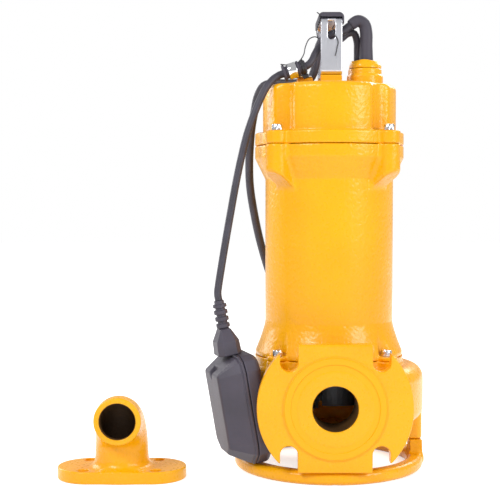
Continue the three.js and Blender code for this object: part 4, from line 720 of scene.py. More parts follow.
@dataclass
class VoluteCasing(Maker):
    """The spiral casing with its discharge flange; its sizes are the CAD casing's."""

    low: float = 27.0
    top: float = 115.0
    wall_r: float = 78.0
    bulge: float = 19.0
    flange_z: float = 75.0
    flange_y: float = -100.0
    flange_thick: float = 14.0
    flange_r: float = 75.0
    half_height: float = 61.6
    slot_at: float = 62.5 * math.sqrt(0.5)
    slot_half: float = 8.5
    bore_r: float = 22.0
    neck_r: float = 36.0
    chamber_r: float = 64.0
    eye_r: float = 31.0
    bolt_r: float = 76.0
    lug_r: float = 11.0
    foot_r: float = 90.0
    step: float = 1.35

    def spiral(self, x: Array, y: Array, z: Array, inset: float) -> Array:
        """Distance of the spiral band: its radius grows evenly over 200 degrees, and its edge is rounded.

        Args:
            x, y, z: where the distance is wanted.
            inset: how far the band is drawn in, for the channel inside it.

        Returns:
            The distances.
        """
        degrees = (np.degrees(np.arctan2(y, x)) + 90.0) % 360.0 - 90.0
        grown = np.clip((200.0 - degrees) / 200.0, 0.0, 1.0) * np.clip((degrees + 84.0) / 10.0, 0.0, 1.0)
        radius = self.wall_r - 1.0 + (self.bulge + 1.0) * grown - inset
        return rounded(np.hypot(x, y) - radius, np.abs(z - self.flange_z - 3.0) - 29.0 + inset,
                       15.0 - inset * 0.5) * 0.9

    def flange(self, x: Array, y: Array, z: Array) -> Array:
        """Distance of the flange: a disc cut straight above and below, with four open slots."""
        up = z - self.flange_z
        plan = np.maximum(np.hypot(x, up) - self.flange_r, np.abs(up) - self.half_height)
        out, high = np.abs(x) - self.slot_at, np.abs(up)
        slot = np.where(high < self.slot_at, np.hypot(out, high - self.slot_at),
                        np.abs(out)) - self.slot_half
        plan = soft_cut(plan, slot, 1.2)
        middle = self.flange_y + self.flange_thick / 2
        return rounded(plan, np.abs(y - middle) - self.flange_thick / 2, 1.1)

    def distance(self, x: Array, y: Array, z: Array) -> Array:
        """Distance of the casing: wall, spiral, lugs, feet, neck and flange, less chamber, bore and holes."""
        wall = lathe(x, y, z, [(0, self.low), (60, self.low), (70, self.low + 9), (76, self.low + 22),
                               (self.wall_r, self.low + 32), (self.wall_r, self.top - 12),
                               (76, self.top - 8),
                               (76, self.top), (0, self.top)])
        body = soft_join(wall, self.spiral(x, y, z, 0.0), 4.0)
        body = soft_join(body, corner_lug(x, y, z, self.bolt_r, self.lug_r, self.top - 20, self.top), 4.0)
        for degrees in (0.0, 75.0, 150.0):
            out, side = about(x, y, degrees)
            plan = np.where(out > self.foot_r, np.hypot(out - self.foot_r, side), np.abs(side)) - 7.0
            plan = np.maximum(plan, 50.0 - out)
            foot = rounded(plan, np.abs(z - self.low - 17.0) - 17.0, 1.5)
            body = soft_join(body, foot, 4.0)
        across = np.hypot(x, z - self.flange_z)
        neck = rounded(across - self.neck_r, np.abs(y + 80.0) - 20.0, 1.0)
        body = soft_join(body, neck, 6.0)
        body = soft_join(body, self.flange(x, y, z), 5.0)
        chamber = column(x, y, z, self.chamber_r, self.low + 8, self.top + 10, 1.0)
        channel = self.spiral(x, y, z, 8.0)
        bore = rounded(across - self.bore_r, np.abs(y + 85.0) - 35.0, 0.5)
        eye = column(x, y, z, self.eye_r, self.low - 10, self.low + 12, 1.0)
        return soft_cut(body, np.minimum(np.minimum(chamber, channel), np.minimum(bore, eye)), 1.5)

    def machined_face(self) -> Surface:
        """Returns the turned face round the bore: a ridge and two fine grooves on a thin closed disc."""
        b = -self.flange_y
        profile = [(self.bore_r + 0.1, b - 4.0), (50.0, b - 4.0), (50.0, b + 0.9), (48.9, b + 0.9),
                   (48.6, b + 1.7),
                   (42.9, b + 1.7), (42.4, b + 0.9), (34.5, b + 0.9), (34.2, b + 0.25), (33.7, b + 0.25),
                   (33.4, b + 0.9),
                   (28.0, b + 0.9), (27.7, b + 0.3), (27.3, b + 0.3), (27.0, b + 0.9),
                   (self.bore_r + 0.9, b + 0.9),
                   (self.bore_r + 0.1, b + 0.2)]
        towards = np.array([[1.0, 0.0, 0.0], [0.0, 0.0, -1.0], [0.0, 1.0, 0.0]])
        return turned(profile, 120, ring=True).moved(towards).shifted(0.0, 0.0, self.flange_z)

    def bore_shade_tube(self) -> Surface:
        """Returns the painted shade inside the bore: a thin dark tube just inside the painted casing."""
        r = self.bore_r
        profile = [(r - 0.1, 58.0), (r + 1.2, 58.0), (r + 1.2, 99.6), (r - 0.1, 99.6)]
        towards = np.array([[1.0, 0.0, 0.0], [0.0, 0.0, -1.0], [0.0, 1.0, 0.0]])
        return turned(profile, 72, ring=True).moved(towards).shifted(0.0, 0.0, self.flange_z)

    def build(self) -> None:
        """Makes the casing, its machined face and the painted shade inside its bore."""
        body = level_surface(self.distance, (-103.0, self.flange_y, 13.0),
                             (103.0, 100.0, self.flange_z + self.half_height), self.step)
        self.piece("spiral_casing", body, PAINT, "paint", ["volute_casing"])
        self.piece("flange_face", self.machined_face(), PLAIN_PAINT, "paint", sharp=25.0)
        # painted shade: a dark tube in the shaded paint colour inside the discharge bore
        self.piece("bore_shade_wall", self.bore_shade_tube(), BORE_SHADE, "iron")


# ---------------------------------------------------------------------------------------------
# Motor housing and cover
# ---------------------------------------------------------------------------------------------


@dataclass
class MotorHousing(Maker):
    """The motor's shell, with a flare and pockets below and a flange with slanted lugs above."""

    low: float = 115.3
    top: float = 329.0
    radius: float = 65.5
    wall: float = 6.0
    flare_r: float = 75.6
    flare_height: float = 35.0
    flange_r: float = 76.0
    flange_h: float = 12.4
    cone_h: float = 21.9
    lug_r: float = 11.0
    cover_bolt_r: float = 77.8
    foot_bolt_r: float = 76.0
    pocket_r: float = 9.0
    step: float = 1.4

    def distance(self, x: Array, y: Array, z: Array) -> Array:
        """Distance of the housing: a turned shell with lugs, less its pockets and its bore."""
        cone_top = self.top - self.flange_h
        t = np.linspace(0.0, 1.0, 7)
        flare = [(self.radius + (self.flare_r - self.radius) * (1 - s) ** 1.3,
                  self.low + 4.0 + (self.flare_height - 4.0) * s) for s in t]
        body = lathe(x, y, z, [(0, self.low), (self.flare_r, self.low), *flare, (self.radius,
                                                                                 cone_top - self.cone_h),
                               (self.flange_r, cone_top), (self.flange_r, self.top), (0, self.top)])
        body = soft_common(body, np.abs(z - (self.low + self.top) / 2) - (self.top - self.low) / 2, 1.5)
        out, side = diagonal(x, y)
        foot = cone_top - 13.6
        reach = self.cover_bolt_r + self.lug_r + 1.0 - self.radius
        slant = ((out - self.radius) * 16.0 - (z - foot + 16.0) * reach) / math.hypot(16.0, reach)
        lug = soft_common(corner_lug(x, y, z, self.cover_bolt_r, self.lug_r, foot - 20.0, self.top), slant,
                          2.5)
        body = soft_join(body, lug, 4.0)
        pocket = column(out - self.foot_bolt_r - 1.0, side, z, self.pocket_r, self.low + 4.0,
                        self.low + 44.0, 3.0)
        body = soft_cut(body, pocket, 2.5)
        body = soft_join(body, corner_lug(x, y, z, self.foot_bolt_r, self.lug_r, self.low, self.low + 4.0,
                                          12.0, 0.8), 1.5)
        bore = column(x, y, z, self.radius - self.wall, self.low + 8.0, self.top + 5.0, 1.0)
        floor = column(x, y, z, self.radius, self.low + 26.7, self.low + 34.7, 0.5)
        return soft_cut(body, np.maximum(bore, -floor), 1.0)

    def build(self) -> None:
        """Makes the housing and its four foot bolts."""
        r = self.cover_bolt_r * math.sqrt(0.5) + self.lug_r + 2
        shell = level_surface(self.distance, (-max(r, 78), -max(r, 78), self.low),
                              (max(r, 78), max(r, 78), self.top), self.step)
        self.piece("motor_shell", shell, PAINT, "paint", ["motor_housing"])
        for i, degrees in enumerate((45.0, 135.0, 225.0, 315.0), 1):
            place_bolt(self, f"foot_bolt_{i}", f"housing_bolt_{i}", self.foot_bolt_r, degrees,
                       self.low + 4.3)
            place_bolt(self, f"top_bolt_{i}", f"cover_bolt_{i}", self.cover_bolt_r, degrees,
                       self.top + 13.3)


def place_bolt(maker: Maker, name: str, node: str, distance: float, degrees: float, seat: float) -> None:
    """Makes one corner bolt with its washer face; its head rests on `seat`."""
    screw = socket_screw(3.0, 5.0, 6.0, 14.0 if node.startswith("housing") else 22.0)
    at = (distance * math.cos(math.radians(degrees)), distance * math.sin(math.radians(degrees)), seat)
    maker.piece(name, screw.moved(turn_about_z(degrees), at), BRIGHT, "bright_steel", [node])


@dataclass
class TopCover(Maker):
    """The cover, scalloped round its bolts, with seats for the handle, the gland and the cord clamp."""

    low: float = 329.3
    top: float = 390.0
    flange_top: float = 342.0
    radius: float = 68.0
    flange_r: float = 76.0
    rounding: float = 6.0
    lug_r: float = 11.0
    bolt_r: float = 77.8
    scallop_r: float = 16.0
    boss_top: float = 399.0
    gland_x: float = 36.5
    gland_r: float = 17.0
    gland_top: float = 408.0
    step: float = 1.05

    def distance(self, x: Array, y: Array, z: Array) -> Array:
        """Distance of the cover: a rounded dome less its scallops, joined to flange, lugs and bosses."""
        dome = column(x, y, z, self.radius, self.low, self.top, self.rounding)
        dome = np.where(z < self.low + 12, np.hypot(x, y) - self.radius, dome)
        dome = np.maximum(dome, self.low - z)
        out, side = diagonal(x, y)
        scallop = column(out - self.bolt_r, side, z, self.scallop_r, self.flange_top, self.top + 30, 2.5)
        body = soft_cut(dome, scallop, 3.5)
        flange = soft_join(column(x, y, z, self.flange_r, self.low, self.flange_top, 1.6),
                           corner_lug(x, y, z, self.bolt_r, self.lug_r, self.low, self.flange_top, 30.0,
                                      1.6), 2.5)
        body = soft_join(body, flange, 2.5)
        seats = block(x, np.abs(y), z, (-10.65, 11.5, self.top - 5), (10.65, 31.5, self.boss_top), 1.2)
        gland = column(x - self.gland_x, y, z, self.gland_r, self.top - 5, self.gland_top, 1.6)
        gland = soft_join(gland, column(x - self.gland_x, y, z, self.gland_r + 1.4, self.top - 5,
                                        self.top + 11, 1.2), 2.0)
        clamp = block(x + 26.0, y + 16.5, z, (-8.0, -8.0, self.top - 5), (8.0, 8.0, self.top + 7), 1.4)
        for boss in (seats, gland, clamp):
            body = soft_join(body, boss, 4.0)
        cavity = column(x, y, z, self.radius - 6, self.low - 5, self.top - 6, 3.0)
        cavity = np.maximum(cavity, self.scallop_r + 6 - np.hypot(out - self.bolt_r, side))
        return soft_cut(body, np.minimum(cavity, column(x - self.gland_x, y, z, 12.8, self.top - 2,
                                                        self.top + 40, 0.6)), 1.5)

    def build(self) -> None:
        """Makes the cover, the gland's nut and its rubber."""
        body = level_surface(self.distance, (-78.0, -78.0, self.low), (78.0, 78.0, self.gland_top),
                             self.step)
        self.piece("scalloped_cover", body, PAINT, "paint", ["top_cover"])
        self.piece("gland_ring", self.gland_nut(), PAINT, "paint", ["gland_nut"], sharp=50.0)
        rubber = [(10.6, self.top - 1.5), (12.4, self.top - 1.2), (12.4, self.gland_top + 4.2),
                  (11.6, self.gland_top + 5.0)]
        self.piece("gland_seal", turned(rubber, 48).shifted(self.gland_x, 0, 0), RUBBER, "rubber",
                   ["gland_rubber"])

    def gland_nut(self) -> Surface:
        """Returns the nut as paint has left it: its radius wavers by 0.35 cos(3a) + 0.2 cos(7a + 1)."""
        low = self.gland_top + 0.3
        profile = [(12.9, low), (16.4, low), (16.6, low + 0.5), (16.6, low + 2.6), (16.1, low + 3.5),
                   (14.9, low + 6.4),
                   (14.2, low + 7.7), (13.5, low + 8.2), (12.9, low + 7.6)]
        r, z = np.array(profile).T
        angle = np.arange(96) * 2 * np.pi / 96
        lumps = 0.22 * np.cos(3 * angle) + 0.16 * np.cos(7 * angle + 1.0) - 0.2
        outer = (r > 13.2)[:, None] & (z > low + 0.1)[:, None]
        radius = r[:, None] + np.where(outer, lumps, 0.0)
        height = z[:, None] + np.where((z > low + 4)[:, None], 0.5 * np.cos(4 * angle + 0.6) - 0.45, 0.0)
        rings = np.stack([radius * np.cos(angle), radius * np.sin(angle), height], axis=-1)
        return grid_surface(rings, along_closed=True).shifted(self.gland_x, 0.0, 0.0)


# ---------------------------------------------------------------------------------------------
# Handle, cord clamp and sleeve
# ---------------------------------------------------------------------------------------------


@dataclass
class Handle(Maker):
    """The bent strap with its slot, its rubber grip and its two screws."""

    width: float = 21.3
    thick: float = 3.0
    span: float = 63.0
    low: float = 399.3
    top: float = 457.0
    bend: float = 7.5
    foot_bend: float = 3.0
    foot_length: float = 20.0
    slot_width: float = 7.7
    slot_low: float = 434.0
    slot_high: float = 453.4
    screw_from_end: float = 6.5
    screw_hole_r: float = 3.3
    screw_at: float = 18.5

    def centre_line(self) -> tuple[Array, Array]:
        """Returns the strap's middle line, as (y, z) points a fifth of a millimetre apart, and its run."""
        y, low, top = self.span / 2 - self.thick / 2, self.low + self.thick / 2, self.top - self.thick / 2
        foot = self.span / 2 - self.foot_length
        corners = [(-foot, low, 0.0), (-y, low, self.foot_bend), (-y, top, self.bend), (y, top, self.bend),
                   (y, low, self.foot_bend), (foot, low, 0.0)]
        points = [np.array(corners[0][:2])]
        for before, (cy, cz, r), after in zip(corners, corners[1:], corners[2:]):
            corner = np.array([cy, cz])
            inwards = (np.array(before[:2]) - corner) / np.linalg.norm(np.array(before[:2]) - corner)
            onwards = (np.array(after[:2]) - corner) / np.linalg.norm(np.array(after[:2]) - corner)
            middle = corner + r * (inwards + onwards)
            for s in np.linspace(0.0, np.pi / 2, 9):
                points.append(middle - r * (onwards * math.cos(s) + inwards * math.sin(s)))
        points.append(np.array(corners[-1][:2]))
        line = evenly_spaced(np.pad(np.array(points), ((0, 0), (0, 1))), 0.2)[:, :2]
        run = np.concatenate([[0.0], np.cumsum(np.linalg.norm(np.diff(line, axis=0), axis=1))])
        return line, run

    def strap(self) -> Surface:
        """Returns the strap: a flat strip with its holes, carried along its middle line."""
        line, run = self.centre_line()
        front = slice(0, len(line) // 2)
        reach = lambda z: float(np.interp(z, line[front, 1], run[front]))
        slot_from, slot_to, half = reach(self.slot_low), reach(self.slot_high), self.slot_width / 2

        def strip(s: Array, v: Array, t: Array) -> Array:
            """Distance of the straight strip less its slot and screw holes."""
            body = block(s, v, t, (0.0, -self.width / 2, -self.thick / 2),
                         (run[-1], self.width / 2, self.thick / 2), 0.55)
            lower = np.where(s < slot_from + half, np.hypot(s - slot_from - half, v) - half,
                             np.abs(v) - half)
            slot = np.maximum(lower, rounded(s - slot_to, np.abs(v) - half, 1.2))
            screw = self.screw_from_end
            holes = np.minimum(np.hypot(s - screw, v), np.hypot(s - run[-1] + screw, v)) - self.screw_hole_r
            return soft_cut(body, np.minimum(slot, holes), 0.6)

        flat = level_surface(strip, (0.0, -self.width / 2, -self.thick / 2),
                             (run[-1], self.width / 2, self.thick / 2), 0.6)
        s, v, t = flat.points.T
        tangent = np.gradient(line, axis=0)
        tangent /= np.linalg.norm(tangent, axis=1, keepdims=True)
        across = np.stack([-tangent[:, 1], tangent[:, 0]], axis=-1)
        pick = lambda values: np.interp(s, run, values)
        y = pick(line[:, 0]) + t * pick(across[:, 0])
        z = pick(line[:, 1]) + t * pick(across[:, 1])
        ns, nv, nt = flat.normals.T
        ny = ns * pick(tangent[:, 0]) + nt * pick(across[:, 0])
        nz = ns * pick(tangent[:, 1]) + nt * pick(across[:, 1])
        mirrored = flat.quads[:, ::-1]
        return Surface(np.stack([v, y, z], axis=-1), mirrored, normals=np.stack([nv, ny, nz], axis=-1))

    def grip(self) -> Surface:
        """Returns the rubber channel over the top bar: a rounded block less the strap's space."""
        half, end, top = self.width / 2 + 2.3, self.span / 2 - 3.5, self.top + 5.0

        def channel(x: Array, y: Array, z: Array) -> Array:
            """Distance of the grip, its top corners rounded wide and its ends drawn in a little."""
            across = rounded(np.abs(x) - half, z - top, 5.0)
            body = soft_common(np.maximum(across, top - 11.0 - z), np.abs(y) - end, 2.0)
            inside = np.maximum(np.abs(x) - self.width / 2 - 0.3, z - self.top - 0.3)
            return soft_cut(body, inside, 0.8)

        return level_surface(channel, (-half, -end, top - 11.0), (half, end, top), 0.75)

    def build(self) -> None:
        """Makes the strap, the grip and the screws."""
        self.piece("bent_strap", self.strap(), STRAP, "strap_steel", ["handle_strap"])
        self.piece("rubber_grip", self.grip(), RUBBER, "rubber", ["handle_grip"])
        for name, side in (("front", -1.0), ("back", 1.0)):
            screw = socket_screw(3.0, 5.0, 5.0, 12.0).shifted(0.0, side * self.screw_at,
                                                              self.low + self.thick + 0.3)
            self.piece(f"strap_screw_{name}", screw, BRIGHT, "bright_steel", [f"handle_screw_{name}"])


@dataclass
class CordClamp(Maker):
    """The chrome band, its rubber liner and the tie that hold the float's cord to the cover."""

    at: tuple[float, float, float] = (-39.0, -30.0, 403.0)
    rise: float = 18.0
    boss_at: tuple[float, float] = (-26.0, -16.5)
    seat: float = 397.3

    def along(self, surface: Surface) -> Surface:
        """Lays a piece made along Z on the clamp's axis, its +Z towards the handle."""
        c, s = math.cos(math.radians(self.rise)), math.sin(math.radians(self.rise))
        turn = np.array([[-s, 0.0, c], [0.0, 1.0, 0.0], [c, 0.0, s]])
        turn[:, 1] = np.cross(turn[:, 2], turn[:, 0])
        return surface.moved(turn, self.at)

    def build(self) -> None:
        """Makes the liner, the band, its tab and screw, and the tie."""
        liner = [(4.1, -9.6), (8.0, -9.6), (8.6, -9.0), (8.6, -7.6), (8.0, -7.0), (6.5, -6.9), (6.5, 4.9),
                 (8.0, 5.0),
                 (8.0, 7.2), (6.6, 7.4), (6.5, 13.6), (6.1, 14.0), (4.1, 14.0)]
        self.piece("clamp_rubber", self.along(turned(liner, 48, ring=True)), RUBBER, "rubber",
                   ["clamp_liner"])
        band = [(6.85, -4.25), (7.9, -4.25), (8.05, -4.0), (8.05, 4.0), (7.9, 4.25), (6.85, 4.25)]
        bx, by = self.boss_at
        seat = self.seat
        plate = level_surface(
            lambda x, y, z: soft_cut(block(x, y, z, (self.at[0] - 3.6, self.at[1] + 5.9, seat),
                                           (bx + 6.6, by + 5.6, seat + 1.5), 0.5),
                                     np.minimum(np.hypot(x - bx, y - by) - 2.3, self.bore(x, y, z)), 0.3),
            (self.at[0] - 5, self.at[1] + 5, seat), (bx + 7, by + 6, seat + 1.5), 0.5)
        band_surface = self.along(turned(band, 64, ring=True))
        band_surface.normals = None
        plate.normals = None
        self.piece("clamp_band", merged(band_surface, plate), CHROME, "bright_steel", ["cord_clamp"])
        screw = socket_screw(2.0, 3.6, 2.6, 7.0).shifted(bx, by, seat + 1.8)
        self.piece("clamp_bolt", screw, BRIGHT, "bright_steel", ["clamp_screw"])
        loop = turned([(6.55, 9.3), (7.5, 9.3), (7.9, 9.6), (7.9, 12.5), (7.5, 12.8), (6.55, 12.8)], 48,
                      ring=True)
        head = level_surface(lambda x, y, z: block(x, y, z, (-3.0, -2.5, 0.0), (3.0, 2.5, 4.4), 0.8),
                             (-3, -2.5, 0), (3, 2.5, 4.4), 0.5)
        head.normals = None
        upright = np.array([[0.0, 0.0, -1.0], [0.0, 1.0, 0.0], [1.0, 0.0, 0.0]])
        self.piece("tie_loop", merged(self.along(loop), self.along(head.moved(upright, (-7.2, 0.0, 11.0)))),
                   NYLON, "nylon", ["cable_tie"])

    def bore(self, x: Array, y: Array, z: Array) -> Array:
        """Distance of the cylinder that the band leaves free along its axis."""
        c, s = math.cos(math.radians(self.rise)), math.sin(math.radians(self.rise))
        dx, dy, dz = x - self.at[0], y - self.at[1], z - self.at[2]
        return np.sqrt(np.maximum(0.0, (dz * c - dx * s) ** 2 + dy * dy)) - 6.9


# ---------------------------------------------------------------------------------------------
# Cords
# ---------------------------------------------------------------------------------------------

PIVOT = (-52.0, -30.0, 398.7)


@dataclass
class Cords(Maker):
    """Both cords, the power cord's sleeve, coil, tie and plug, and the loose wires of two wire ties."""

    power_r: float = 4.25
    float_r: float = 3.75
    coil_at: tuple[float, float] = (12.0, 175.0)
    coil_radii: tuple[float, ...] = (63.75, 55.25, 46.75, 38.25)
    coil_levels: tuple[float, ...] = (30.95, 22.45, 13.95, 5.45)
    coil_start: float = 197.5
    coil_turns: float = 16.187
    power_route: tuple = (
        (37.4, -2, 413.3), (37.4, -2, 430), (37.4, -2, 445), (35.2, -2.3, 453.6), (28.8, -3.2, 456.6),
                          (21, -4, 451.8),
        (13.5, -4.4, 446.2), (5, -4.2, 443.8), (-3.4, -2.6, 441), (-9.6, 0.4, 434), (-12.6, 2.4, 422),
                          (-14.6, 3.4, 409),
        (-19.4, 4.6, 398.6), (-30, 7, 394.9), (-44, 11, 394.7), (-57.6, 15.2, 395.2), (-67, 18.2, 392.8),
                          (-73.2, 19.8, 382.6),
        (-76.8, 20.8, 366), (-79.8, 22, 349), (-81.4, 24.4, 331), (-82.2, 29, 311), (-81.4, 36, 289),
                          (-77.4, 44, 262),
        (-70.6, 52, 230), (-61.4, 62, 198), (-50, 76, 165), (-38.6, 92, 130), (-31, 107, 96),
                          (-33, 121, 68),
        (-38.6, 139, 47.4), (-42, 158, 39.4),
    )
    tail_route: tuple = ((-20.6, 213.4, 39.75), (-12, 219.6, 41.6), (-3.4, 219.6, 46.4), (4.4, 212.4, 51.4),
                         (8.2, 204.6, 53.0), (9.52, 199.32, 53.0))
    fixed_route: tuple = (
        (29.2, 4.8, 413.3), (29.2, 4.8, 427), (28.8, 4.8, 437), (25.4, 4.6, 445.4), (19, 4.6, 444.8),
                          (12.4, 4.2, 439.6),
        (6, 1.2, 435.6), (0, -5, 433), (-6, -12, 431), (-11.6, -18.4, 427.6), (-15.8, -23.6, 420.8),
                          (-19.4, -27.8, 413.2),
        (-24.4, -30, 408), (-31, -30, 405.6), (-39, -30, 403), (-48.13, -30, 400.03),
    )
    free_route: tuple = (
        PIVOT, (-58.2, -32.8, 394.4), (-65, -37, 386), (-71, -40, 374.4), (-77, -41.8, 360),
                         (-84, -43.4, 340),
        (-90, -44.8, 316), (-95.4, -46.4, 290), (-100.8, -48.2, 260), (-106, -50.4, 230),
                         (-110.4, -52.4, 203),
        (-112.4, -53.4, 190), (-113.3, -53.9, 181.6), (-112.35, -53.62, 175.3),
    )

    def winding(self) -> Array:
        """Returns the coil's turns: four columns of four, wound down and up, with a step late in each turn."""
        slots = [(r, z) for i, r in enumerate(self.coil_radii)
                 for z in (self.coil_levels if i % 2 == 0 else self.coil_levels[::-1])]
        top = self.coil_levels[0] + 2 * self.power_r
        knots = [(0.0, 56.6, top - 0.05), (0.22, *slots[0])]
        for k, slot in enumerate(slots):
            knots.append((k + 0.8 if k < len(slots) - 1 else k + 0.72, *slot))
            if k + 1 < len(slots):
                knots.append((k + 1.0, *slots[k + 1]))
        knots.append((len(slots) + 0.0, 45.0, top))
        knots.append((self.coil_turns, 50.4, top + 0.3))
        t, r, z = np.array(knots).T
        at = np.linspace(0.0, self.coil_turns, 640)
        radius, height = np.interp(at, t, r), np.interp(at, t, z)
        angle = np.radians(self.coil_start - 360.0 * at)
        return np.stack([self.coil_at[0] + radius * np.cos(angle), self.coil_at[1] + radius * np.sin(angle),
                         height], axis=-1)

    def power_cord(self, plug: bpy.types.Object, others: Sequence[bpy.types.Object]) -> None:
        """Makes the power cord in one piece, from its sleeve through its coil to its plug."""
        line = np.concatenate([smooth_route(self.power_route, 3.0)[:-1], self.winding(),
                               smooth_route(self.tail_route, 3.0)[1:]])
        made = self.piece("power_cable", tube(line, self.power_r, 14), SHEATH, "cord_rubber",
                          ["power_cord", "power_cord_coil", "power_cord_tail"], sharp=60.0)

    def float_cord(self) -> None:
        """Makes the float's cord as one tube along its fixed and free routes."""
        line = np.concatenate([smooth_route(self.fixed_route, 2.5), smooth_route(self.free_route, 2.5)])
        made = mesh_object("float_cable", tube(line, self.float_r, 14), SHEATH, 60.0)
        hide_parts("float_cord_fixed", "float_cord_free")
        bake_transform(made)

    def plug(self) -> bpy.types.Object:
        """Makes the moulded plug: a ribbed relief that widens into a round body with two pins."""
        ribs = [(6.2 + 0.9 * (i % 2), 1.0 + 1.2 * i) for i in range(10)]
        profile = [(5.0, 0.0), *ribs, (7.6, 14.0), (9.0, 17.0), (12.0, 20.5), (15.6, 25.5), (17.2, 30.0),
                   (17.5, 32.0), (17.5, 43.0),
                   (17.1, 44.4), (16.2, 45.0)]
        parts = [turned(profile, 64)]
        for side in (-9.5, 9.5):
            pin = [(2.4, 44.0), (2.4, 63.4), (2.2, 64.4), (1.5, 65.0)]
            parts.append(turned(pin, 24).shifted(side, 0.0, 0.0))
        c, s = math.cos(math.radians(-76.0)), math.sin(math.radians(-76.0))
        turn = np.array([[0.0, -s, c], [0.0, c, s], [-1.0, 0.0, 0.0]])
        return self.piece("moulded_plug", merged(*parts).moved(turn, (9.6, 199.0, 53.0)), RUBBER, "rubber",
                          ["plug"])

    def coil_tie(self) -> bpy.types.Object:
        """Makes the strap round the coil's bundle: a rounded rectangle's frame with a buckle."""
        low, high = 33.0, 69.2

        def frame_distance(x: Array, y: Array, z: Array) -> Array:
            """Distance of the tie's loop and buckle, made along X."""
            outer = block(x, y, z, (low - 0.2, -4.5, 0.1), (high, 4.5, 36.4), 0.4)
            inner = block(x, y, z, (low + 0.9, -9.0, 0.95), (high - 0.9, 9.0, 35.5), 0.3)
            buckle = block(x, y, z, (high - 0.5, -5.5, 13.0), (high + 2.9, 5.5, 21.0), 0.8)
            return np.minimum(np.maximum(outer, -inner), buckle)

        made = level_surface(frame_distance, (low - 1, -5.5, 0.0), (high + 3, 5.5, 36.4), 0.55)
        turn = turn_about_z(20.0)
        return self.piece("bundle_strap", made.moved(turn, (*self.coil_at, 0.0)), NYLON, "nylon",
                          ["coil_tie"])

    def sleeve(self) -> bpy.types.Object:
        """Makes the sleeve over both cords' start: a tapered tube that bends over with the power cord."""
        route = smooth_route(self.power_route, 1.5)
        run = np.concatenate([[0.0], np.cumsum(np.linalg.norm(np.diff(route, axis=0), axis=1))])
        line = route[run < 58.0]
        t = run[run < 58.0] / 58.0
        radius = 6.6 + 0.8 * np.clip(1.0 - t * 3.0, 0.0, 1.0) - 1.0 * t ** 3
        radius[-1] -= 0.4
        return self.piece("cord_guard", tube(line, radius, 24), RUBBER, "rubber", ["cord_sleeve"],
                          sharp=60.0)

    def wires(self) -> None:
        """Makes the thin wire ties twisted round the handle."""
        routes = {
            "wire_tail": ((3.0, -29.0, 449.0), (1.0, -33.0, 444.0), (2.4, -33.6, 439.0),
                          (5.4, -33.8, 434.6), (6.4, -33.4, 430.6),
                          (5.6, -33.2, 426.8), (4.6, -33.4, 421.6), (3.4, -34.2, 417.4)),
            "wire_hook": ((-13.0, -26.0, 434.0), (-14.4, -27.2, 441.0), (-13.6, -28.4, 449.0),
                          (-11.6, -29.4, 455.6), (-12.6, -29.8, 459.6),
                          (-14.6, -29.4, 461.0)),
            "wire_branch": ((-12.6, -27.0, 436.0), (-17.0, -28.0, 437.0), (-22.4, -29.0, 434.4),
                            (-26.0, -30.0, 427.0), (-28.0, -31.0, 418.6),
                            (-33.6, -33.0, 411.0), (-42.0, -34.0, 408.2), (-51.0, -34.6, 408.8)),
        }
        for name, points in routes.items():
            self.piece(name, tube(smooth_route(points, 0.8), 0.55, 8), NYLON, "nylon", sharp=60.0)

    def build(self) -> None:
        """Makes the cords and what is on them."""
        plug, tie, guard = self.plug(), self.coil_tie(), self.sleeve()
        self.power_cord(plug, [tie, guard])
        self.float_cord()
        self.wires()


# ---------------------------------------------------------------------------------------------
# Float switch and elbow
# ---------------------------------------------------------------------------------------------


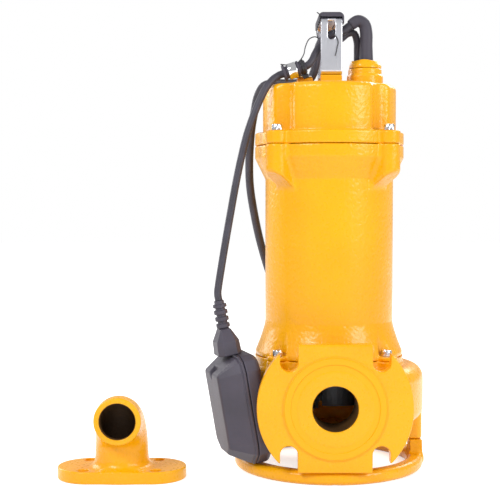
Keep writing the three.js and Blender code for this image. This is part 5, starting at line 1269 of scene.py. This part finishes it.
@dataclass
class FloatSwitch(Maker):
    """The float, made about its own middle: x through its thickness, y across and z up its length."""

    at: tuple[float, float, float] = (-94.5, -48.5, 70.1)
    turn: float = 196.0
    lean: float = 10.0
    width: float = 80.0
    top: float = 52.0
    bottom: float = 58.0
    seam: float = -5.0
    outer: float = 21.0
    inner: float = -21.0
    inset: float = 13.0
    step: float = 0.85

    def outline(self, y: Array, z: Array) -> Array:
        """Distance of the shells' outline: an upright shape with its lower corners cut well back."""
        w, top, low = self.width / 2, self.top, -self.bottom
        return polygon(y, z, [(-w + 22, low), (w - 22, low), (w - 4, low + 13), (w, low + 24),
                              (w, top - 14), (w - 5, top - 4),
                              (w - 14, top), (-w + 14, top), (-w + 5, top - 4), (-w, top - 14),
                              (-w, low + 24), (-w + 4, low + 13)])

    def front(self, x: Array, y: Array, z: Array) -> Array:
        """Distance of the outer shell: its sides slope in to a smaller flat face, notched under the boot."""
        plan = self.outline(y, z)
        rim = 5.0
        past = np.maximum(0.0, x - self.seam - rim)
        slope = self.inset / (self.outer - self.seam - rim)
        side = (plan + 1.6 + past * slope) / math.hypot(1.0, slope)
        body = soft_common(side, x - self.outer, 2.2)
        body = soft_common(body, self.seam + 1.1 - x, 0.8)
        lip = rounded(plan, np.abs(x - self.seam - 1.6) - 1.3, 0.5)
        notch = np.maximum(np.abs(y) * 0.82 - (z - self.top + 21.0) * 0.62, self.outer - 7.5 - x) * 0.8
        return soft_cut(soft_join(body, lip, 0.6), notch, 1.2)

    def back(self, x: Array, y: Array, z: Array) -> Array:
        """Distance of the inner shell: straight at the seam, then rounded in to its back face."""
        plan = self.outline(y, z)
        body = rounded(plan, self.inner - x, 7.0)
        body = soft_common(body, x - self.seam + 0.5, 1.0)
        return body

    def boot(self, x: Array, y: Array, z: Array) -> Array:
        """Distance of the boot: a block that narrows upwards with cut corners, under a ribbed neck."""
        low, shoulder, high = self.top + 0.3, self.top + 14.0, self.top + 26.3
        draw = np.clip((z - shoulder) / (high - shoulder), 0.0, 1.0) * 6.2 + np.clip((z - low) / 14.0, 0,
                                                                                     1) * 0.8
        block_side = np.maximum(np.maximum(np.abs(x) - 12.0, np.abs(y) - 15.0),
                                (np.abs(x) + np.abs(y) - 21.5) * 0.75) + draw
        body = soft_common(block_side * 0.86, np.abs(z - (low + high) / 2) - (high - low) / 2, 1.2)
        r = np.hypot(x, y)
        neck = soft_common(r - 4.9, np.abs(z - (high - 1 + low + 54.0) / 2) - (low + 54.0 - high + 1) / 2,
                           0.6)
        pitch = 6.7
        phase = np.abs((z - high - 3.0 + pitch / 2) % pitch - pitch / 2)
        ribs = np.maximum(rounded(r - 6.8, phase - 1.9, 0.4), np.abs(z - high - 12.0) - 12.2)
        return soft_join(soft_join(body, neck, 1.5), ribs, 0.5)

    def placed(self, surface: Surface) -> Surface:
        """Leans the float and turns it to its place."""
        turn = np.array(Euler((0.0, math.radians(self.lean), math.radians(self.turn))).to_matrix())
        return surface.moved(turn, self.at)

    def build(self) -> None:
        """Makes both shells, the boot and the seam's dark joint between them."""
        w, low, high = self.width / 2, -self.bottom, self.top
        box = lambda a, b: ((a, -w, low), (b, w, high))
        self.piece("float_front", self.placed(level_surface(self.front, *box(self.seam, self.outer),
                                                            self.step)), FLOAT_SKIN,
                   "rubber", ["float_shell_front"])
        self.piece("float_back", self.placed(level_surface(self.back, *box(self.inner, self.seam),
                                                           self.step)), FLOAT_SKIN,
                   "rubber", ["float_shell_back"])
        joint = lambda x, y, z: rounded(self.outline(y, z) + 3.0, np.abs(x - self.seam) - 1.6, 0.4)
        self.piece("float_seam", self.placed(level_surface(joint, *box(self.seam - 2, self.seam + 2),
                                                           self.step)), NYLON, "rubber")
        boot = level_surface(self.boot, (-13.0, -16.0, high), (13.0, 16.0, high + 54.5), 0.6)
        self.piece("float_neck", self.placed(boot), FLOAT_SKIN, "rubber", ["float_boot"])


@dataclass
class LooseElbow(Maker):
    """The hose elbow that stands beside the pump on its flange."""

    at: tuple[float, float] = (-208.0, -58.0)
    length: float = 127.0
    width: float = 65.0
    thick: float = 12.0
    foot_r: float = 27.5
    mouth_r: float = 22.75
    wall: float = 5.2
    bend: float = 35.0
    rise: float = 27.8
    run: float = 7.0

    def pipe(self, x: Array, y: Array, z: Array, inset: float) -> Array:
        """Distance of the bent pipe: how far a point lies from the centre line, less a tapering radius."""
        quarter = self.bend * math.pi / 2
        round_y, round_z = y + self.bend, z - self.rise
        angle = np.arctan2(round_z, np.maximum(round_y, 1e-6))
        in_bend = np.hypot(x, np.hypot(round_y, round_z) - self.bend)
        away = np.where(z < self.rise, np.hypot(x, y),
                        np.where(y < -self.bend, np.hypot(x, round_z - self.bend), in_bend))
        along = np.where(z < self.rise, z, np.where(y < -self.bend, self.rise + quarter - round_y,
                                                    self.rise + self.bend * np.clip(angle, 0.0, np.pi / 2)))
        whole = self.rise + quarter + self.run
        return away - (self.foot_r + (self.mouth_r - self.foot_r)
                       * np.clip(along / whole, 0.0, 1.1)) + inset

    def distance(self, x: Array, y: Array, z: Array) -> Array:
        """Distance of the elbow: plate with a fillet into the pipe, less the bore and four holes."""
        half = self.width / 2
        plan = np.hypot(np.maximum(np.abs(x) - self.length / 2 + half, 0.0), y) - half
        plate = rounded(plan, np.abs(z - self.thick / 2) - self.thick / 2, 1.6)
        mouth = -self.bend - self.run
        outer = soft_common(self.pipe(x, y, z, 0.0), np.maximum(mouth - y, -z), 1.4)
        body = soft_join(plate, outer, 9.0)
        nub = rounded(np.hypot(x, z - self.rise) - 4.0, np.abs(y - 14.0) - 16.0, 1.0)
        body = soft_join(body, nub, 2.0)
        hole_x, hole_y = np.abs(x) - 35.0, np.abs(y) - 23.0
        holes = np.maximum(np.hypot(hole_x, hole_y) - 5.5, z - self.thick - 4.0)
        return soft_cut(body, np.minimum(self.pipe(x, y, z, self.wall), holes), 1.2)

    def build(self) -> None:
        """Makes the elbow and the painted shade inside its bore."""
        low, high = (-self.length / 2, -43.0, 0.0), (self.length / 2, self.width / 2, 91.0)
        body = level_surface(self.distance, low, high, 0.95)
        self.piece("hose_elbow", body.shifted(*self.at, 0.0), PAINT, "paint", ["discharge_elbow"])
        bore = self.bore_shade_wall()
        # painted shade: a dark tube in the shaded paint colour inside the elbow's bore
        self.piece("elbow_bore_shade", bore.shifted(*self.at, 0.0), BORE_SHADE, "iron")

    def bore_shade_wall(self) -> Surface:
        """Returns the painted shade inside the elbow's bore: a thin dark closed tube that follows the bend
        just inside the wall.
        """
        quarter = self.bend * math.pi / 2
        end = self.rise + quarter + self.run
        s = np.linspace(0.8, end - 0.8, 60)
        outer = self.foot_r + (self.mouth_r - self.foot_r) * s / end - self.wall
        angle = np.clip((s - self.rise) / self.bend, 0.0, np.pi / 2)
        centre = np.stack([np.zeros_like(s), -self.bend + self.bend * np.cos(angle)
                           - np.maximum(0.0, s - self.rise - quarter),
                           np.minimum(s, self.rise) + self.bend * np.sin(angle)], axis=-1)
        out = np.stack([np.zeros_like(s), np.cos(angle), np.sin(angle)], axis=-1)
        around = np.arange(48) * 2 * np.pi / 48
        ring = lambda r: centre[:, None] + r[:, None,
                                             None] * (np.cos(around)[None, :, None] * np.array([1.0, 0, 0])
                                                              + np.sin(around)[None, :, None]
                                                      * out[:, None])
        section = np.concatenate([ring(outer + 0.8), ring(outer - 0.25)[::-1]])
        return grid_surface(section, along_closed=True)


# ---------------------------------------------------------------------------------------------
# Stage
# ---------------------------------------------------------------------------------------------


@dataclass
class Stage:
    """Camera, lamps, floor and backdrop."""

    camera_at: tuple[float, float, float] = (-81.4, -1170.0, 274.0)
    floor_glow: float = 0.62
    aim_height: float = 0.22
    tilt: float = 2.53
    lens: float = 81.6
    reach: float = 6.0

    def camera(self) -> None:
        """Makes the camera, which looks along +Y and slightly down."""
        data = bpy.data.cameras.new("camera")
        data.lens, data.sensor_width, data.clip_end = self.lens, 36.0, 50.0
        camera = bpy.data.objects.new("camera", data)
        camera.location = to_row(self.camera_at)
        camera.rotation_euler = (math.radians(90.0 - self.tilt), 0.0, 0.0)
        bpy.context.scene.collection.objects.link(camera)
        bpy.context.scene.camera = camera

    def lamp(self, name: str, at: Sequence[float], size: float, watts: float) -> None:
        """Makes one soft lamp that faces the pump's middle."""
        data = bpy.data.lights.new(name, "AREA")
        data.energy, data.size, data.shape = watts, size, "DISK"
        made = bpy.data.objects.new(name, data)
        made.location = Vector(at)
        towards = Vector((0.0, 0.0, self.aim_height)) - made.location
        made.rotation_euler = towards.to_track_quat("-Z", "Y").to_euler()
        bpy.context.scene.collection.objects.link(made)

    def pale(self, name: str) -> bpy.types.Material:
        """Returns the floor's material: white to a camera or a reflection, with the object's shadow kept."""
        made = bpy.data.materials.new(name)
        made.use_nodes = True
        tree = made.node_tree
        tree.nodes.clear()
        out, mix = tree.nodes.new("ShaderNodeOutputMaterial"), tree.nodes.new("ShaderNodeAddShader")
        diffuse, glow = tree.nodes.new("ShaderNodeBsdfDiffuse"), tree.nodes.new("ShaderNodeEmission")
        path, most = tree.nodes.new("ShaderNodeLightPath"), tree.nodes.new("ShaderNodeMath")
        diffuse.inputs["Color"].default_value = (0.82, 0.82, 0.82, 1.0)
        most.operation = "MAXIMUM"
        scale = tree.nodes.new("ShaderNodeMath")
        scale.operation = "MULTIPLY"
        scale.inputs[1].default_value = self.floor_glow
        tree.links.new(path.outputs["Is Camera Ray"], most.inputs[0])
        tree.links.new(path.outputs["Is Glossy Ray"], most.inputs[1])
        tree.links.new(most.outputs["Value"], scale.inputs[0])
        tree.links.new(scale.outputs["Value"], glow.inputs["Strength"])
        tree.links.new(diffuse.outputs["BSDF"], mix.inputs[0])
        tree.links.new(glow.outputs["Emission"], mix.inputs[1])
        tree.links.new(mix.outputs["Shader"], out.inputs["Surface"])
        return made

    def floor(self) -> None:
        """Makes the floor."""
        r = self.reach
        mesh = bpy.data.meshes.new("floor")
        mesh.from_pydata([(-r, -r, 0.0), (r, -r, 0.0), (r, r, 0.0), (-r, r, 0.0)], [], [(0, 1, 2, 3)])
        mesh.materials.append(self.pale("pale_floor"))
        made = bpy.data.objects.new("floor", mesh)
        bpy.context.scene.collection.objects.link(made)

    def world(self) -> None:
        """Makes the world: white to the camera, and a plain soft fill to everything else."""
        world = bpy.data.worlds.new("studio")
        world.use_nodes = True
        tree = world.node_tree
        back = tree.nodes["Background"]
        back.inputs["Color"].default_value = (1.0, 1.0, 1.0, 1.0)
        path, spread = tree.nodes.new("ShaderNodeLightPath"), tree.nodes.new("ShaderNodeMapRange")
        spread.inputs["To Min"].default_value = 0.5
        spread.inputs["To Max"].default_value = 1.0
        tree.links.new(path.outputs["Is Camera Ray"], spread.inputs["Value"])
        tree.links.new(spread.outputs["Result"], back.inputs["Strength"])
        bpy.context.scene.world = world

    def build(self) -> None:
        """Makes the camera, the stage and the lamps."""
        self.camera()
        self.floor()
        self.world()
        self.lamp("key", (-1.1, -1.5, 1.5), 0.8, 26.0)
        self.lamp("fill", (1.5, -1.2, 0.9), 0.9, 17.0)
        self.lamp("rim", (0.9, 1.1, 1.2), 0.9, 14.0)
        self.lamp("back_rim", (-1.2, 0.9, 0.8), 0.9, 10.0)
        bpy.context.scene.view_settings.view_transform = "Standard"


def dress_hidden_nodes() -> None:
    """Gives every CAD node that is still shown its own finish, by the record's slots."""
    slots = {part["node"]: part["material_slot"] for part in frame["record"]["subparts"]}
    for name, node in frame["nodes"].items():
        if not node.hide_render:
            node.data.materials.clear()
            node.data.materials.append(HIDDEN_FINISHES[slots[name]].material())


def main() -> None:
    """Builds the stage, the cords and then the pump's sub-assemblies in order."""
    logging.basicConfig(level=logging.INFO, format="%(name)s: %(message)s")
    Stage().build()
    Cords("pump").build()
    for part in (FootRing("pump"), VoluteCasing("pump"), MotorHousing("pump"), TopCover("pump"),
                 Handle("pump"),
                 CordClamp("pump"), FloatSwitch("float_switch"), LooseElbow("loose_elbow")):
        part.build()
    dress_hidden_nodes()


if __name__ == "__main__":
    main()
